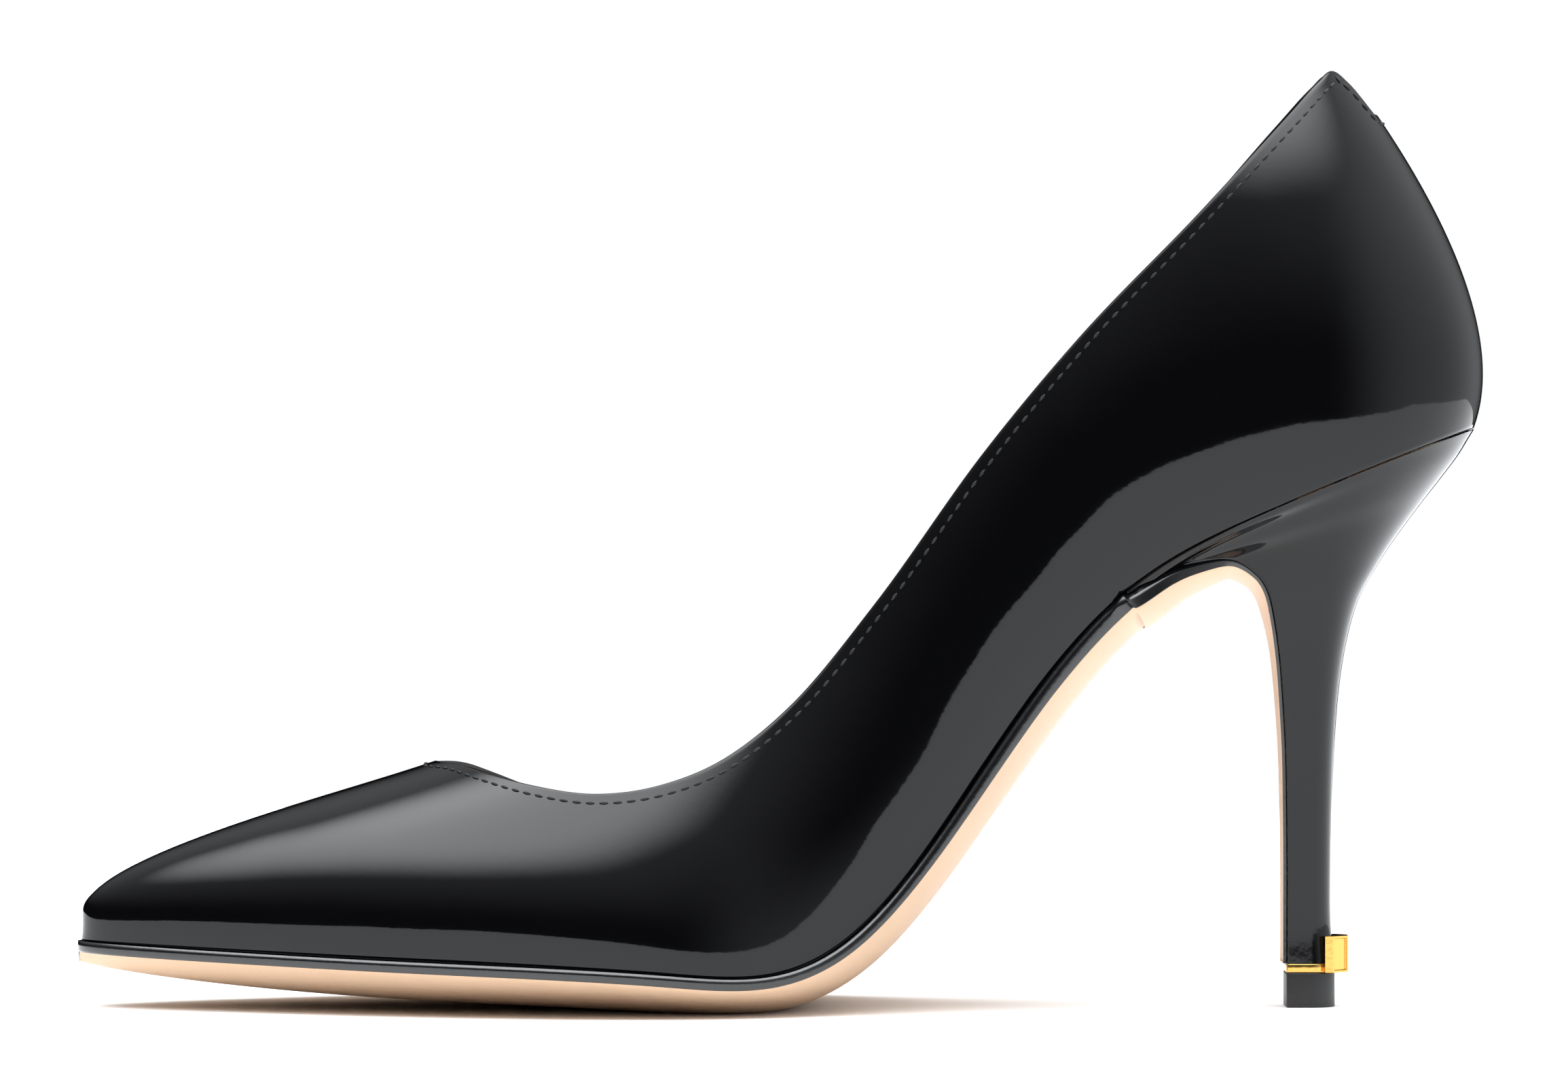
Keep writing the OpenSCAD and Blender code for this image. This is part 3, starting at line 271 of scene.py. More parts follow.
def half_width(s, side):
    return np.abs(spline(EDGE_TABLE, np.where(side > 0, s / 2, 1 - s / 2))[..., 1])


def bottom_up(s):
    m = np.clip(s, 0.015, 0.985) / 2
    d = spline(EDGE_TABLE, m + STEP_U) - spline(EDGE_TABLE, m - STEP_U)
    t = unit(d[..., [0, 2]])
    return np.stack([-t[..., 1], np.zeros(t.shape[:-1]), t[..., 0]], -1)


def station_of(x):
    lo, hi = np.zeros_like(x), np.ones_like(x)
    for _ in range(24):
        mid = (lo + hi) / 2
        past = spline(EDGE_TABLE, mid / 2)[..., 0] > x
        hi, lo = np.where(past, mid, hi), np.where(past, lo, mid)
    return (lo + hi) / 2


def bottom(x, y, height):
    """Point over the place x, y at a height square to the last's bottom."""
    s = station_of(x)
    e = spline(EDGE_TABLE, s / 2)
    w = np.maximum(half_width(s, y), 0.01)
    sag = spline(WALL_TABLE, s / 2)[..., 3]
    h = height - sag * (1 - np.minimum(1, np.abs(y) / w) ** SAG_POWER)
    p = e + bottom_up(s) * h[..., None]
    return np.stack([p[..., 0] + x - e[..., 0], y, p[..., 2]], -1)


def corner(s, side, inset):
    """Plan place on the bottom's outline, turned in by some distance."""
    u = np.where(side > 0, s / 2, 1 - s / 2)
    return spline(EDGE_TABLE, u)[..., :2] - outward(u) * np.asarray(inset)[..., None]


# ---- meshes ----------------------------------------------------------------------------------------
class Sheet:
    """Collects grids of points in millimetres and makes one piece of them."""

    def __init__(self):
        self.points, self.faces, self.slots, self.count = [], [], [], 0

    def grid(self, p, slot=0, closed_rows=False, closed_cols=False, flip=False):
        p = np.asarray(p, float)
        rows, cols = p.shape[:2]
        index = np.arange(rows * cols).reshape(rows, cols) + self.count
        if closed_rows:
            index = np.vstack([index, index[:1]])
        if closed_cols:
            index = np.hstack([index, index[:, :1]])
        quads = np.stack([index[:-1, :-1], index[:-1, 1:], index[1:, 1:], index[1:, :-1]], -1)
        quads = quads.reshape(-1, 4)
        if flip:
            quads = quads[:, ::-1]
        self.points.append(p.reshape(-1, 3))
        self.faces.append(quads)
        self.slots.append(np.full(len(quads), slot))
        self.count += rows * cols

    def piece(self, name, materials, merge=0.002, outward_all=False):
        mesh = bpy.data.meshes.new(name)
        mesh.from_pydata(
            (np.vstack(self.points) * MM).tolist(), [], np.vstack(self.faces).tolist()
        )
        mesh.polygons.foreach_set("material_index", np.concatenate(self.slots))
        bm = bmesh.new()
        bm.from_mesh(mesh)
        bmesh.ops.remove_doubles(bm, verts=bm.verts, dist=merge * MM)
        bmesh.ops.dissolve_degenerate(bm, edges=bm.edges, dist=merge * MM / 4)
        if outward_all:
            bmesh.ops.recalc_face_normals(bm, faces=bm.faces)
        for face in bm.faces:
            face.smooth = True
        bm.to_mesh(mesh)
        bm.free()
        return add_piece(name, mesh, materials)


def add_piece(name, mesh, materials):
    piece = bpy.data.objects.new(name, mesh)
    bpy.context.scene.collection.objects.link(piece)
    for material in materials:
        mesh.materials.append(material)
    return piece


# ---- upper and lining ----------------------------------------------------------------------------
def wall_stations(count_vamp, count_quarter):
    """u values once round the shoe, the same on both sides, closer together at the throat."""
    vamp = THROAT * (1 - np.cos(np.linspace(0, math.pi / 2, count_vamp + 1)))
    quarter = THROAT + (1 - THROAT) * (1 - np.cos(np.linspace(0, math.pi, count_quarter + 1))) / 2
    s = np.concatenate([vamp, quarter[1:]])
    return np.concatenate([s / 2, (1 - s / 2)[-2:0:-1]]), s


def topline_loop(u):
    """The topline's stations with its points, outward normals and the way off the leather."""
    keep = u[(along(u) > THROAT - 1e-9)]
    p, n = wall(keep, top_share(keep)[:, None])
    p, n = p[:, 0], n[:, 0]
    ahead, behind = np.roll(p, -1, 0), np.roll(p, 1, 0)
    ahead[-1], behind[0] = p[0], p[-1]
    run = unit(ahead - behind)
    off = unit(np.cross(n, run))
    down = wall(keep, (top_share(keep) * 0.97)[:, None])[0][:, 0] - p
    off *= np.where((off * down).sum(-1) > 0, -1, 1)[:, None]
    return keep, p, n, off


def upper_piece(materials):
    """Outer face of the patent upper: its top edge is folded over, its foot turns in to the sole."""
    u, _ = wall_stations(120, 190)
    rows = 1 - (1 - np.linspace(0, 1, 66)) ** 1.15
    top = top_share(u)
    outer, n = wall(u, top[:, None] * rows)
    sheet = Sheet()
    edge = outer[:, :1] - LASTED_IN * n[:, :1] - np.array([0, 0, LASTED_DROP])
    sheet.grid(np.concatenate([edge, outer], 1), closed_rows=True, flip=True)
    _, p, n, off = topline_loop(u)
    turn = np.linspace(0, math.pi, 9)
    fold = [p - FOLD * (1 - math.cos(a)) * n + FOLD * math.sin(a) * off for a in turn]
    for d in HEM:
        fold.append(p - (2 * FOLD + HEM_LEAN * d * d) * n - d * off)
    sheet.grid(np.stack(fold, 1), closed_rows=True, flip=True)
    return sheet.piece("upper_patent", materials, merge=0.02)


def lining_piece(materials):
    """Lining leather inside the shoe, with its raw edge just under the fold."""
    u, _ = wall_stations(60, 110)
    u = u[(along(u) > 0.04)]
    top = top_share(u)
    p_top, n_top = wall(u, top[:, None])
    p_low, _ = wall(u, (top * 0.96)[:, None])
    length = np.linalg.norm(p_top - p_low, axis=-1) / 0.04
    open_here = along(u)[:, None] > THROAT
    start = top[:, None] * (1 - np.where(open_here, LINING_STEP / np.maximum(length, 20), 0))
    rows = np.linspace(1, 0.02, 44)
    part = rows[None] * np.ones_like(start)
    stiff = STIFFENER * smooth(0.7, 0.76, along(u))[:, None] * smooth(0.72, 0.5, part)
    depth = LINING_IN + stiff
    p, n = wall(u, start * rows)
    inner = p - depth[..., None] * n
    rim = p[:, 0] - (2 * FOLD) * n[:, 0]
    round_rim = [rim]
    lift = unit(p[:, 0] - p[:, 1])
    half = (LINING_IN - 2 * FOLD) / 2
    for a in np.linspace(0, math.pi, 6)[1:-1]:
        round_rim.append(rim - half * (1 - math.cos(a)) * n[:, 0] + 0.25 * math.sin(a) * lift)
    sheet = Sheet()
    both = np.concatenate([np.stack(round_rim, 1), inner], 1)
    sheet.grid(both, flip=True)
    return sheet.piece("lining_leather", materials, merge=0.02)


def plate_grid(s, inset, height, cells):
    """Grid across the bottom between stations; height depends on station and share across."""
    a, b = corner(s, -np.ones_like(s), inset), corner(s, np.ones_like(s), inset)
    t = np.linspace(0, 1, cells + 1)
    plan = a[:, None] + (b - a)[:, None] * t[None, :, None]
    return bottom(plan[..., 0], plan[..., 1], height(s[:, None], 2 * t[None] - 1))


def pad_height(s):
    return PAD * sum(smooth(PAD_REACH, 0, np.abs(s - middle)) for middle in PAD_STATIONS)


def sock_piece(materials):
    """Sock lining over the foam pads, its edge rolled down to the insole board."""
    s = np.linspace(0.06, 0.998, 120)

    def inset(extra):
        return SOCK_INSET + STIFFENER * smooth(0.7, 0.76, s) + extra

    def height(lift):
        return lambda st, across: INSOLE_TOP + SOCK_GAP + lift + pad_height(st) + 0 * across

    sheet = Sheet()
    sheet.grid(plate_grid(s, inset(0.25), height(SOCK), 40))
    rim = [(0.25, SOCK), (0.08, SOCK - 0.1), (0.0, SOCK - 0.3), (0.0, -SOCK_GAP)]
    for side in (-1, 1):
        line = []
        for extra, lift in rim:
            place = corner(s, side * np.ones_like(s), inset(extra))
            line.append(bottom(place[:, 0], place[:, 1], height(lift)(s, 0)))
        sheet.grid(np.stack(line, 1), flip=side > 0)
    return sheet.piece("sock_lining_leather", materials, merge=0.02)


# ---- heel ------------------------------------------------------------------------------------------
# Levels of the heel from the breast line on the seat down to the band, as shares between the
# shaft and the seat: breast x, back x, half width, breast z, back z
HEEL = np.array([
    (1, 1, 1, 1, 1), (0.93, 0.967, 0.953, 1.01, 0.985), (0.723, 0.886, 0.86, 1.064, 0.949),
    (0.533, 0.767, 0.746, 1.088, 0.906), (0.35, 0.616, 0.6, 1.094, 0.854),
    (0.211, 0.453, 0.456, 1.058, 0.795), (0.128, 0.318, 0.332, 1.006, 0.74),
    (0.08, 0.192, 0.228, 0.917, 0.678), (0.048, 0.11, 0.15, 0.814, 0.601),
    (0.028, 0.057, 0.098, 0.704, 0.513), (0.01, 0.024, 0.057, 0.565, 0.402),
    (0.003, 0.008, 0.031, 0.41, 0.292), (0, 0, 0.01, 0.254, 0.182), (0, 0, 0, 0.115, 0.083),
    (0, 0.024, 0.005, 0, 0),
])
HEEL_LAST = len(HEEL) - 1
tip_low, tip_high = (np.array(v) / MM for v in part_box("heel_tip"))
band_low, band_high = (np.array(v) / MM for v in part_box("heel_band"))
TIP_LENGTH, TIP_WIDTH = tip_high[0] - tip_low[0], tip_high[1] - tip_low[1]
FOOT_Z = band_high[2] + 0.05
SHAFT = dict(front=tip_low[0] + 0.2, back=tip_high[0] - 0.7, half=TIP_WIDTH / 2 - 0.1)
SEAT_S = float(station_of(np.array([BREAST_X]))[0])
SEAT_FRONT = spline(EDGE_TABLE, np.array([SEAT_S / 2]))[0]
SEAT_BACK = spline(EDGE_TABLE, np.array([0.5]))[0]
SEAT_HALF = max(half_width(np.linspace(SEAT_S, 1, 60), side).max() for side in (-1, 1))


def heel_value(k, t):
    """Catmull-Rom curve through a column of the heel's levels."""
    i = np.minimum(HEEL_LAST - 1, np.floor(t)).astype(int)
    f = t - i
    a, b, c, d = (HEEL[np.clip(i + j, 0, HEEL_LAST), k] for j in (-1, 0, 1, 2))
    return (b + f * (c - a) / 2 + f * f * (2 * a - 5 * b + 4 * c - d) / 2
            + f**3 * (3 * b - a - 3 * c + d) / 2)


def mix(a, b, k):
    return a + (b - a) * k


def breast_at(t):
    return (mix(SHAFT["front"], SEAT_FRONT[0], heel_value(0, t)),
            mix(FOOT_Z, SEAT_FRONT[2], heel_value(3, t)))


def back_at(t):
    return (mix(SHAFT["back"], SEAT_BACK[0], heel_value(1, t)),
            mix(FOOT_Z, SEAT_BACK[2], heel_value(4, t)))


def heel_point(t, q):
    """Point of the heel's side at level t; q runs -1 inner breast edge, 0 back, 1 outer edge."""
    s = 1 - (1 - SEAT_S) * np.abs(q)
    e = spline(EDGE_TABLE, np.where(q < 0, 1 - s / 2, s / 2)) - CEMENT * bottom_up(s)
    (fx, fz), (bx, bz) = breast_at(t), back_at(t)
    side = 0.38
    a = np.radians(90 * q / (1 - side))
    straight = np.abs(q) > 1 - side
    dx = np.where(straight, 0.5 * (1 - np.abs(q)) / side, 0.5 + 0.5 * np.cos(a))
    dy = np.where(straight, np.sign(q), np.sin(a))
    k = smooth(0, 7, t)
    xs = (e[..., 0] - SEAT_FRONT[0]) / (SEAT_BACK[0] - SEAT_FRONT[0])
    bulge = (e[..., 2] - mix(SEAT_FRONT[2], SEAT_BACK[2], xs)) * smooth(4, 0, t)
    ks = mix(xs, dx, k)
    half = mix(SHAFT["half"], SEAT_HALF, heel_value(2, t))
    p = np.stack([mix(fx, bx, ks), half * mix(e[..., 1] / SEAT_HALF, dy, k),
                  mix(fz, bz, ks) + bulge], -1)
    return mix(e, p, smooth(0, 0.35, t)[..., None])


def breast_normal(t):
    a, b = breast_at(np.maximum(0, t - 0.3)), breast_at(np.minimum(HEEL_LAST, t + 0.3))
    d = unit(np.stack([b[0] - a[0], b[1] - a[1]], -1))
    across = np.stack([d[..., 1], np.zeros_like(t), -d[..., 0]], -1)
    k = smooth(0, 1.5, t)[..., None]
    return unit(-(1 - k) * bottom_up(np.full(t.shape, SEAT_S)) + k * across)


def breast_point(t, across, depth, trim=0.0):
    """Point on the heel's breast, moved out towards the toe by a depth."""
    n = breast_normal(t)
    p = heel_point(t, np.where(across < 0, -1.0, 1.0))
    sag = (spline(WALL_TABLE, np.array([SEAT_S / 2]))[0, 3] * smooth(9, 1, t)
           * (1 - np.abs(across) ** SAG_POWER))
    p = p + n * (depth + sag)[..., None]
    p[..., 1] = across * (np.abs(heel_point(t, np.ones_like(t))[..., 1]) - trim)
    return p


def heel_levels(count):
    return HEEL_LAST * np.linspace(0, 1, count) ** 1.25


def cover_piece(materials):
    """Patent leather wrapped round the heel and turned in at the breast and under the seat."""
    t, q = heel_levels(110), np.linspace(-1, 1, 97)
    tt, qq = np.meshgrid(t, q, indexing="ij")
    side = heel_point(tt, qq)
    turn = []
    for end in (1.0, -1.0):
        across = np.full_like(t, end)
        turn.append([breast_point(t, across * (1 - k), np.full_like(t, d))
                     for k, d in ((0.03, 0.0), (0.12, -0.15))])
    rings = np.concatenate([
        np.stack(turn[1][::-1], 1), side, np.stack(turn[0], 1),
    ], 1)
    top = side[0]
    centre = np.array([2.0, 0, 0])
    inwards = unit((centre - top) * np.array([1, 1, 0]))
    lip = [top + inwards * d - np.array([0, 0, drop]) for d, drop in ((1.6, 0.5), (0.5, 0.22))]
    sheet = Sheet()
    sheet.grid(rings)
    sheet.grid(np.stack([lip[0], lip[1], mix(side[0], side[1], 0.4)], 0))
    return sheet.piece("heel_cover_patent", materials, merge=0.02)


# ---- sole --------------------------------------------------------------------------------------------
def sole_depth(across, s):
    return mix(SOLE, EDGE, np.abs(across) ** 4) + WAIST_EXTRA * smooth(0.55, 0.7, s)


def sole_piece(materials):
    """Leather sole with a painted edge; it runs on down the heel's breast as a thin flap."""
    s = np.concatenate([0.004 + 0.05 * np.linspace(0, 1, 22) ** 2,
                        np.linspace(0.056, SEAT_S - 0.006, 150)])
    t = heel_levels(90)[1:]
    cells = 40
    c = np.linspace(-1, 1, cells + 1)
    welt = -WELT * smooth(SEAT_S, SEAT_S - 0.1, s)
    thin = mix(sole_depth(c, SEAT_S)[None], FLAP, smooth(0.5, 5.5, t)[:, None])
    trim = FLAP_TRIM * smooth(0, 3, t)

    def flap(depth_of):
        tt, cc = np.meshgrid(t, c, indexing="ij")
        p = breast_point(tt, cc, FLAP_GAP + depth_of)
        half = np.abs(heel_point(t, np.ones_like(t))[:, 1]) - trim
        p[..., 1] = cc * half[:, None]
        return p

    def floor_at_zero(p):
        p[..., 2] = np.maximum(p[..., 2], 0)
        return p

    low = plate_grid(s, welt + EDGE_ROUND, lambda st, a: -CEMENT - sole_depth(a, st), cells)
    high = plate_grid(s, welt, lambda st, a: -CEMENT + 0 * st + 0 * a, cells)
    low = floor_at_zero(np.concatenate([low, flap(thin)], 0))
    high = np.concatenate([high, flap(0 * thin)], 0)
    rim_low = plate_grid(s, welt, lambda st, a: EDGE_ROUND - CEMENT - sole_depth(1, st) + 0 * a, cells)
    rim_low = np.concatenate([rim_low, flap(np.maximum(thin - 0.15, 0.1))], 0)
    sheet = Sheet()
    sheet.grid(low, slot=0, flip=True)
    sheet.grid(high, slot=1)
    for k, turned in ((0, False), (-1, True)):
        top, rim, foot = high[:, k], rim_low[:, k], low[:, k]
        turn = mix(rim, foot, 0.55) + EDGE_CROWN * (rim - mix(top, foot, 0.5))
        band = np.stack([top, mix(top, rim, 0.5), rim, turn, foot], 1)
        sheet.grid(band, slot=1, flip=not turned)
    for k, turned in ((0, True), (-1, False)):
        sheet.grid(np.stack([high[k], low[k]], 1), slot=1, flip=turned)
    return sheet.piece("outsole_leather", materials, merge=0.01)


# ---- heel foot: tip, band and ornament -------------------------------------------------------------
def d_outline(length, width, back_steps=20, corner_r=0.6, corner_steps=4):
    """D in plan, flat side towards the toe, from the inner breast corner round the back."""
    half, front, centre = width / 2, -length / 2, (length - width) / 2
    pts = []
    for a in np.linspace(-math.pi / 2, math.pi / 2, back_steps + 1):
        pts.append((centre + half * math.cos(a), half * math.sin(a)))
    for sy, start in ((1, math.pi / 2), (-1, math.pi)):
        for a in np.linspace(start, start + math.pi / 2, corner_steps + 1):
            pts.append((front + corner_r + corner_r * math.cos(a),
                        sy * (half - corner_r) + corner_r * math.sin(a)))
    return np.array(pts)


def bevelled_prism(sheet, outline, low, high, bevel, slot=0):
    """Upright prism on an outline, its top and bottom edges rounded."""
    centre = outline.mean(0)
    ahead, behind = np.roll(outline, -1, 0), np.roll(outline, 1, 0)
    d = unit(ahead - behind)
    n = np.stack([d[:, 1], -d[:, 0]], 1)
    rings = []
    for a in np.linspace(0, math.pi / 2, 5):
        rings.append((bevel * (1 - math.sin(a)), low + bevel * (1 - math.cos(a))))
    rings += [(g, high - (z - low)) for g, z in rings[::-1]]
    rows = [np.column_stack([outline - n * g, np.full(len(outline), z)]) for g, z in rings]
    for end, row in ((0, rows[0]), (-1, rows[-1])):
        inner = [np.column_stack([mix(centre, row[:, :2], k), row[:, 2]]) for k in (0.02, 0.5)]
        rows = ([inner[0], inner[1]] + rows) if end == 0 else (rows + [inner[1], inner[0]])
    sheet.grid(np.stack(rows, 0), slot=slot, closed_cols=True)


def tip_piece(materials):
    """Heel tip of hard moulded plastic."""
    sheet = Sheet()
    bevelled_prism(sheet, d_outline(TIP_LENGTH, TIP_WIDTH), 0, tip_high[2], 0.22)
    return sheet.piece("heel_tip_moulded", materials, merge=0.001)


def band_piece(materials):
    """Gilt band between the tip and the cover, very slightly proud of both."""
    sheet = Sheet()
    outline = d_outline(TIP_LENGTH + 2 * BAND_PROUD, TIP_WIDTH + 0.06)
    bevelled_prism(sheet, outline, band_low[2], band_high[2], 0.25)
    return sheet.piece("heel_band_gilt", materials, merge=0.001)


plaque_low, plaque_high = (np.array(v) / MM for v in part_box("heel_plaque"))


def plaque_piece(materials):
    """Gilt ornament on the heel's back: two slanted faces, each with a plain sunk panel."""
    x0, x1, x2 = plaque_low[0], plaque_low[0] + PLAQUE_ROOT, plaque_high[0]
    y1, y2 = plaque_high[1], plaque_high[1] - PLAQUE_SLANT
    z0, z1 = plaque_low[2], plaque_high[2]
    mesh = bpy.data.meshes.new("heel_ornament_gilt")
    bm = bmesh.new()
    plan = [(x0, -y1), (x1, -y1), (x2, -y2), (x2, y2), (x1, y1), (x0, y1), (x0, PLAQUE_SLANT),
            (x0, -PLAQUE_SLANT)]
    low = [bm.verts.new((x * MM, y * MM, z0 * MM)) for x, y in plan]
    high = [bm.verts.new((x * MM, y * MM, z1 * MM)) for x, y in plan]
    sides = []
    for k in range(len(plan)):
        n = (k + 1) % len(plan)
        sides.append(bm.faces.new((low[k], low[n], high[n], high[k])))
    bm.faces.new(low[::-1])
    bm.faces.new(high)
    bm.normal_update()
    for face, depth in ((sides[1], 0.35), (sides[3], 0.35), (sides[2], 0.25)):
        bmesh.ops.inset_individual(bm, faces=[face], thickness=PLAQUE_MARGIN * MM, depth=0)
        bmesh.ops.inset_individual(bm, faces=[face], thickness=PANEL_STEP * MM,
                                   depth=-depth * MM)
        upright = [e for e in face.edges if abs(e.verts[0].co.z - e.verts[1].co.z) > 1e-4]
        bmesh.ops.subdivide_edges(bm, edges=upright, cuts=1)
    bmesh.ops.bevel(bm, geom=list(bm.edges), offset=PLAQUE_BEVEL * MM, segments=2, profile=0.5,
                    affect="EDGES", clamp_overlap=True)
    bm.to_mesh(mesh)
    bm.free()
    return add_piece("heel_ornament_gilt", mesh, materials)


# ---- stitches ------------------------------------------------------------------------------------------
def geometry_tree(name, inputs):
    """Empty geometry tree with a geometry input and named number inputs."""
    tree = bpy.data.node_groups.new(name, "GeometryNodeTree")
    tree.interface.new_socket("Seam line", in_out="INPUT", socket_type="NodeSocketGeometry")
    for label, value in inputs.items():
        socket = tree.interface.new_socket(label, in_out="INPUT", socket_type="NodeSocketFloat")
        socket.default_value = value
    tree.interface.new_socket("Stitches", in_out="OUTPUT", socket_type="NodeSocketGeometry")
    return tree


def join(tree, node, **links):
    """Sets or links a node's inputs by name, or by number where the label is like _0."""
    for label, source in links.items():
        by_number = label[0] == "_" and label[1:].isdigit()
        socket = node.inputs[int(label[1:]) if by_number else label.replace("_", " ")]
        if isinstance(source, bpy.types.NodeSocket):
            tree.links.new(source, socket)
        else:
            socket.default_value = source


def add_node(tree, kind, settings=None, **links):
    """Adds a node. settings are its properties; links set or join its inputs."""
    node = tree.nodes.new(kind)
    for key, value in (settings or {}).items():
        setattr(node, key, value)
    join(tree, node, **links)
    return node


def stitch_tree(material):
    """Stitches along a seam line: one capsule of thread for each step of the pitch."""
    tree = geometry_tree("topline_stitches", {
        "Pitch": STITCH_PITCH * MM, "Length": STITCH_LENGTH * MM, "Thread": THREAD * MM,
    })
    given = add_node(tree, "NodeGroupInput").outputs
    line = add_node(tree, "GeometryNodeMeshToCurve", Mesh=given["Seam line"])
    spots = add_node(tree, "GeometryNodeCurveToPoints", {"mode": "LENGTH"},
                     Curve=line.outputs["Curve"], Length=given["Pitch"])
    bead = add_node(tree, "GeometryNodeMeshUVSphere", Segments=8, Rings=7, Radius=0.5)
    size = add_node(tree, "ShaderNodeCombineXYZ", X=given["Thread"], Y=given["Thread"],
                    Z=given["Length"])
    capsule = add_node(tree, "GeometryNodeTransform", Geometry=bead.outputs["Mesh"],
                       Scale=size.outputs["Vector"])
    placed = add_node(tree, "GeometryNodeInstanceOnPoints", Points=spots.outputs["Points"],
                      Instance=capsule.outputs["Geometry"], Rotation=spots.outputs["Rotation"])
    real = add_node(tree, "GeometryNodeRealizeInstances",
                    Geometry=placed.outputs["Instances"])
    round_off = add_node(tree, "GeometryNodeSetShadeSmooth", Geometry=real.outputs["Geometry"])
    finish = add_node(tree, "GeometryNodeSetMaterial", Geometry=round_off.outputs[0],
                      Material=material)
    add_node(tree, "NodeGroupOutput", Stitches=finish.outputs["Geometry"])
    return tree


def seam_line(upper):
    """The seam's line on the upper, at an even distance under the fold."""
    u, _ = wall_stations(120, 190)
    _, p, n, off = topline_loop(u)
    start = p - STITCH_INSET * off
    tree = BVHTree.FromObject(upper, bpy.context.evaluated_depsgraph_get())
    line = []
    for place in start * MM:
        spot, normal, _, _ = tree.find_nearest(Vector(place))
        line.append(spot - normal * STITCH_SUNK * MM)
    mesh = bpy.data.meshes.new("seam_line")
    mesh.from_pydata(line, [(k, k + 1) for k in range(len(line) - 1)], [])
    return mesh


def stitch_piece(upper, material):
    holder = add_piece("topline_stitches", seam_line(upper), [])
    tree = stitch_tree(material)
    sewing = holder.modifiers.new("Stitches", "NODES")
    sewing.node_group = tree
    for item in tree.interface.items_tree:
        if item.in_out == "INPUT" and item.socket_type == "NodeSocketFloat":
            sewing[item.identifier] = item.default_value
    bpy.context.view_layer.update()
    ready = holder.evaluated_get(bpy.context.evaluated_depsgraph_get())
    mesh = bpy.data.meshes.new_from_object(ready)
    holder.modifiers.remove(sewing)
    holder.data = mesh
    if not mesh.materials:
        mesh.materials.append(material)
    return holder


# ---- materials ---------------------------------------------------------------------------------------
def colour(code):
    """sRGB hex to linear RGBA."""
    parts = [int(code[k:k + 2], 16) / 255 for k in (1, 3, 5)]
    return tuple(c / 12.92 if c <= 0.04045 else ((c + 0.055) / 1.055) ** 2.4
                 for c in parts) + (1,)


def new_material(name):
    material = bpy.data.materials.new(name)
    material.use_nodes = True
    tree = material.node_tree
    tree.nodes.clear()
    shader = add_node(tree, "ShaderNodeBsdfPrincipled")
    add_node(tree, "ShaderNodeOutputMaterial", Surface=shader.outputs["BSDF"])
    place = add_node(tree, "ShaderNodeTexCoord").outputs["Object"]
    return material, tree, shader, place


def per_metre(size_mm):
    """Noise scale whose features are about this many millimetres across."""
    return 1 / (size_mm * MM)


def patent_leather(name):
    """Patent leather: black split leather under a poured polyurethane film. The film is smooth and
    mirror-like, with a slow unevenness left by the leather under it."""
    material, tree, shader, place = new_material(name)
    slow = add_node(tree, "ShaderNodeTexNoise", Vector=place, Scale=per_metre(26), Detail=1.0,
                    Roughness=0.4)
    fine = add_node(tree, "ShaderNodeTexNoise", Vector=place, Scale=per_metre(1.6), Detail=2.0)
    fine_part = add_node(tree, "ShaderNodeMath", {"operation": "MULTIPLY"},
                         _0=fine.outputs["Fac"], _1=0.012)
    height = add_node(tree, "ShaderNodeMath", {"operation": "ADD"},
                      _0=slow.outputs["Fac"], _1=fine_part.outputs[0])
    relief = add_node(tree, "ShaderNodeBump", Distance=0.4 * MM, Height=height.outputs[0])
    join(tree, shader, Base_Color=colour("#060607"), Roughness=0.05, IOR=1.38,
         Normal=relief.outputs["Normal"])
    return material


def edge_paint():
    """Black acrylic edge paint on the sole: glossy, a little uneven along the edge."""
    material, tree, shader, place = new_material("edge_paint")
    grain = add_node(tree, "ShaderNodeTexNoise", Vector=place, Scale=per_metre(1.2), Detail=3.0)
    relief = add_node(tree, "ShaderNodeBump", Distance=0.05 * MM, Height=grain.outputs["Fac"])
    join(tree, shader, Base_Color=colour("#0b0b0c"), Roughness=0.22, Coat_Weight=0.5,
         Coat_Roughness=0.12, Normal=relief.outputs["Normal"])
    return material


def cloudy_tone(tree, place, cloud_mm, detail, dark, light):
    """Colour that drifts between two tones over the leather."""
    cloud = add_node(tree, "ShaderNodeTexNoise", Vector=place, Scale=per_metre(cloud_mm),
                     Detail=detail)
    return add_node(tree, "ShaderNodeMix", {"data_type": "RGBA"}, Factor=cloud.outputs["Fac"],
                    _6=colour(dark), _7=colour(light)).outputs[2]


def sole_leather():
    """Vegetable-tanned sole leather, buffed: fine pores, soft cloudy tone, a satin surface."""
    material, tree, shader, place = new_material("sole_leather")
    pores = add_node(tree, "ShaderNodeTexNoise", Vector=place, Scale=per_metre(0.7), Detail=4.0)
    relief = add_node(tree, "ShaderNodeBump", Distance=0.06 * MM, Height=pores.outputs["Fac"])
    join(tree, shader, Base_Color=cloudy_tone(tree, place, 22, 4.0, "#c9a98c", "#d8b99c"),
         Roughness=0.5, IOR=1.45, Normal=relief.outputs["Normal"])
    return material


def calf_lining():
    """Lining leather: smooth calf with a close grain, matt with a slight sheen of wear."""
    material, tree, shader, place = new_material("calf_lining")
    grain = add_node(tree, "ShaderNodeTexVoronoi", Vector=place, Scale=per_metre(1.1))
    relief = add_node(tree, "ShaderNodeBump", Distance=0.08 * MM, Height=grain.outputs["Distance"])
    join(tree, shader, Base_Color=cloudy_tone(tree, place, 15, 3.0, "#b98f6c", "#c9a17d"),
         Roughness=0.55, Normal=relief.outputs["Normal"])
    return material


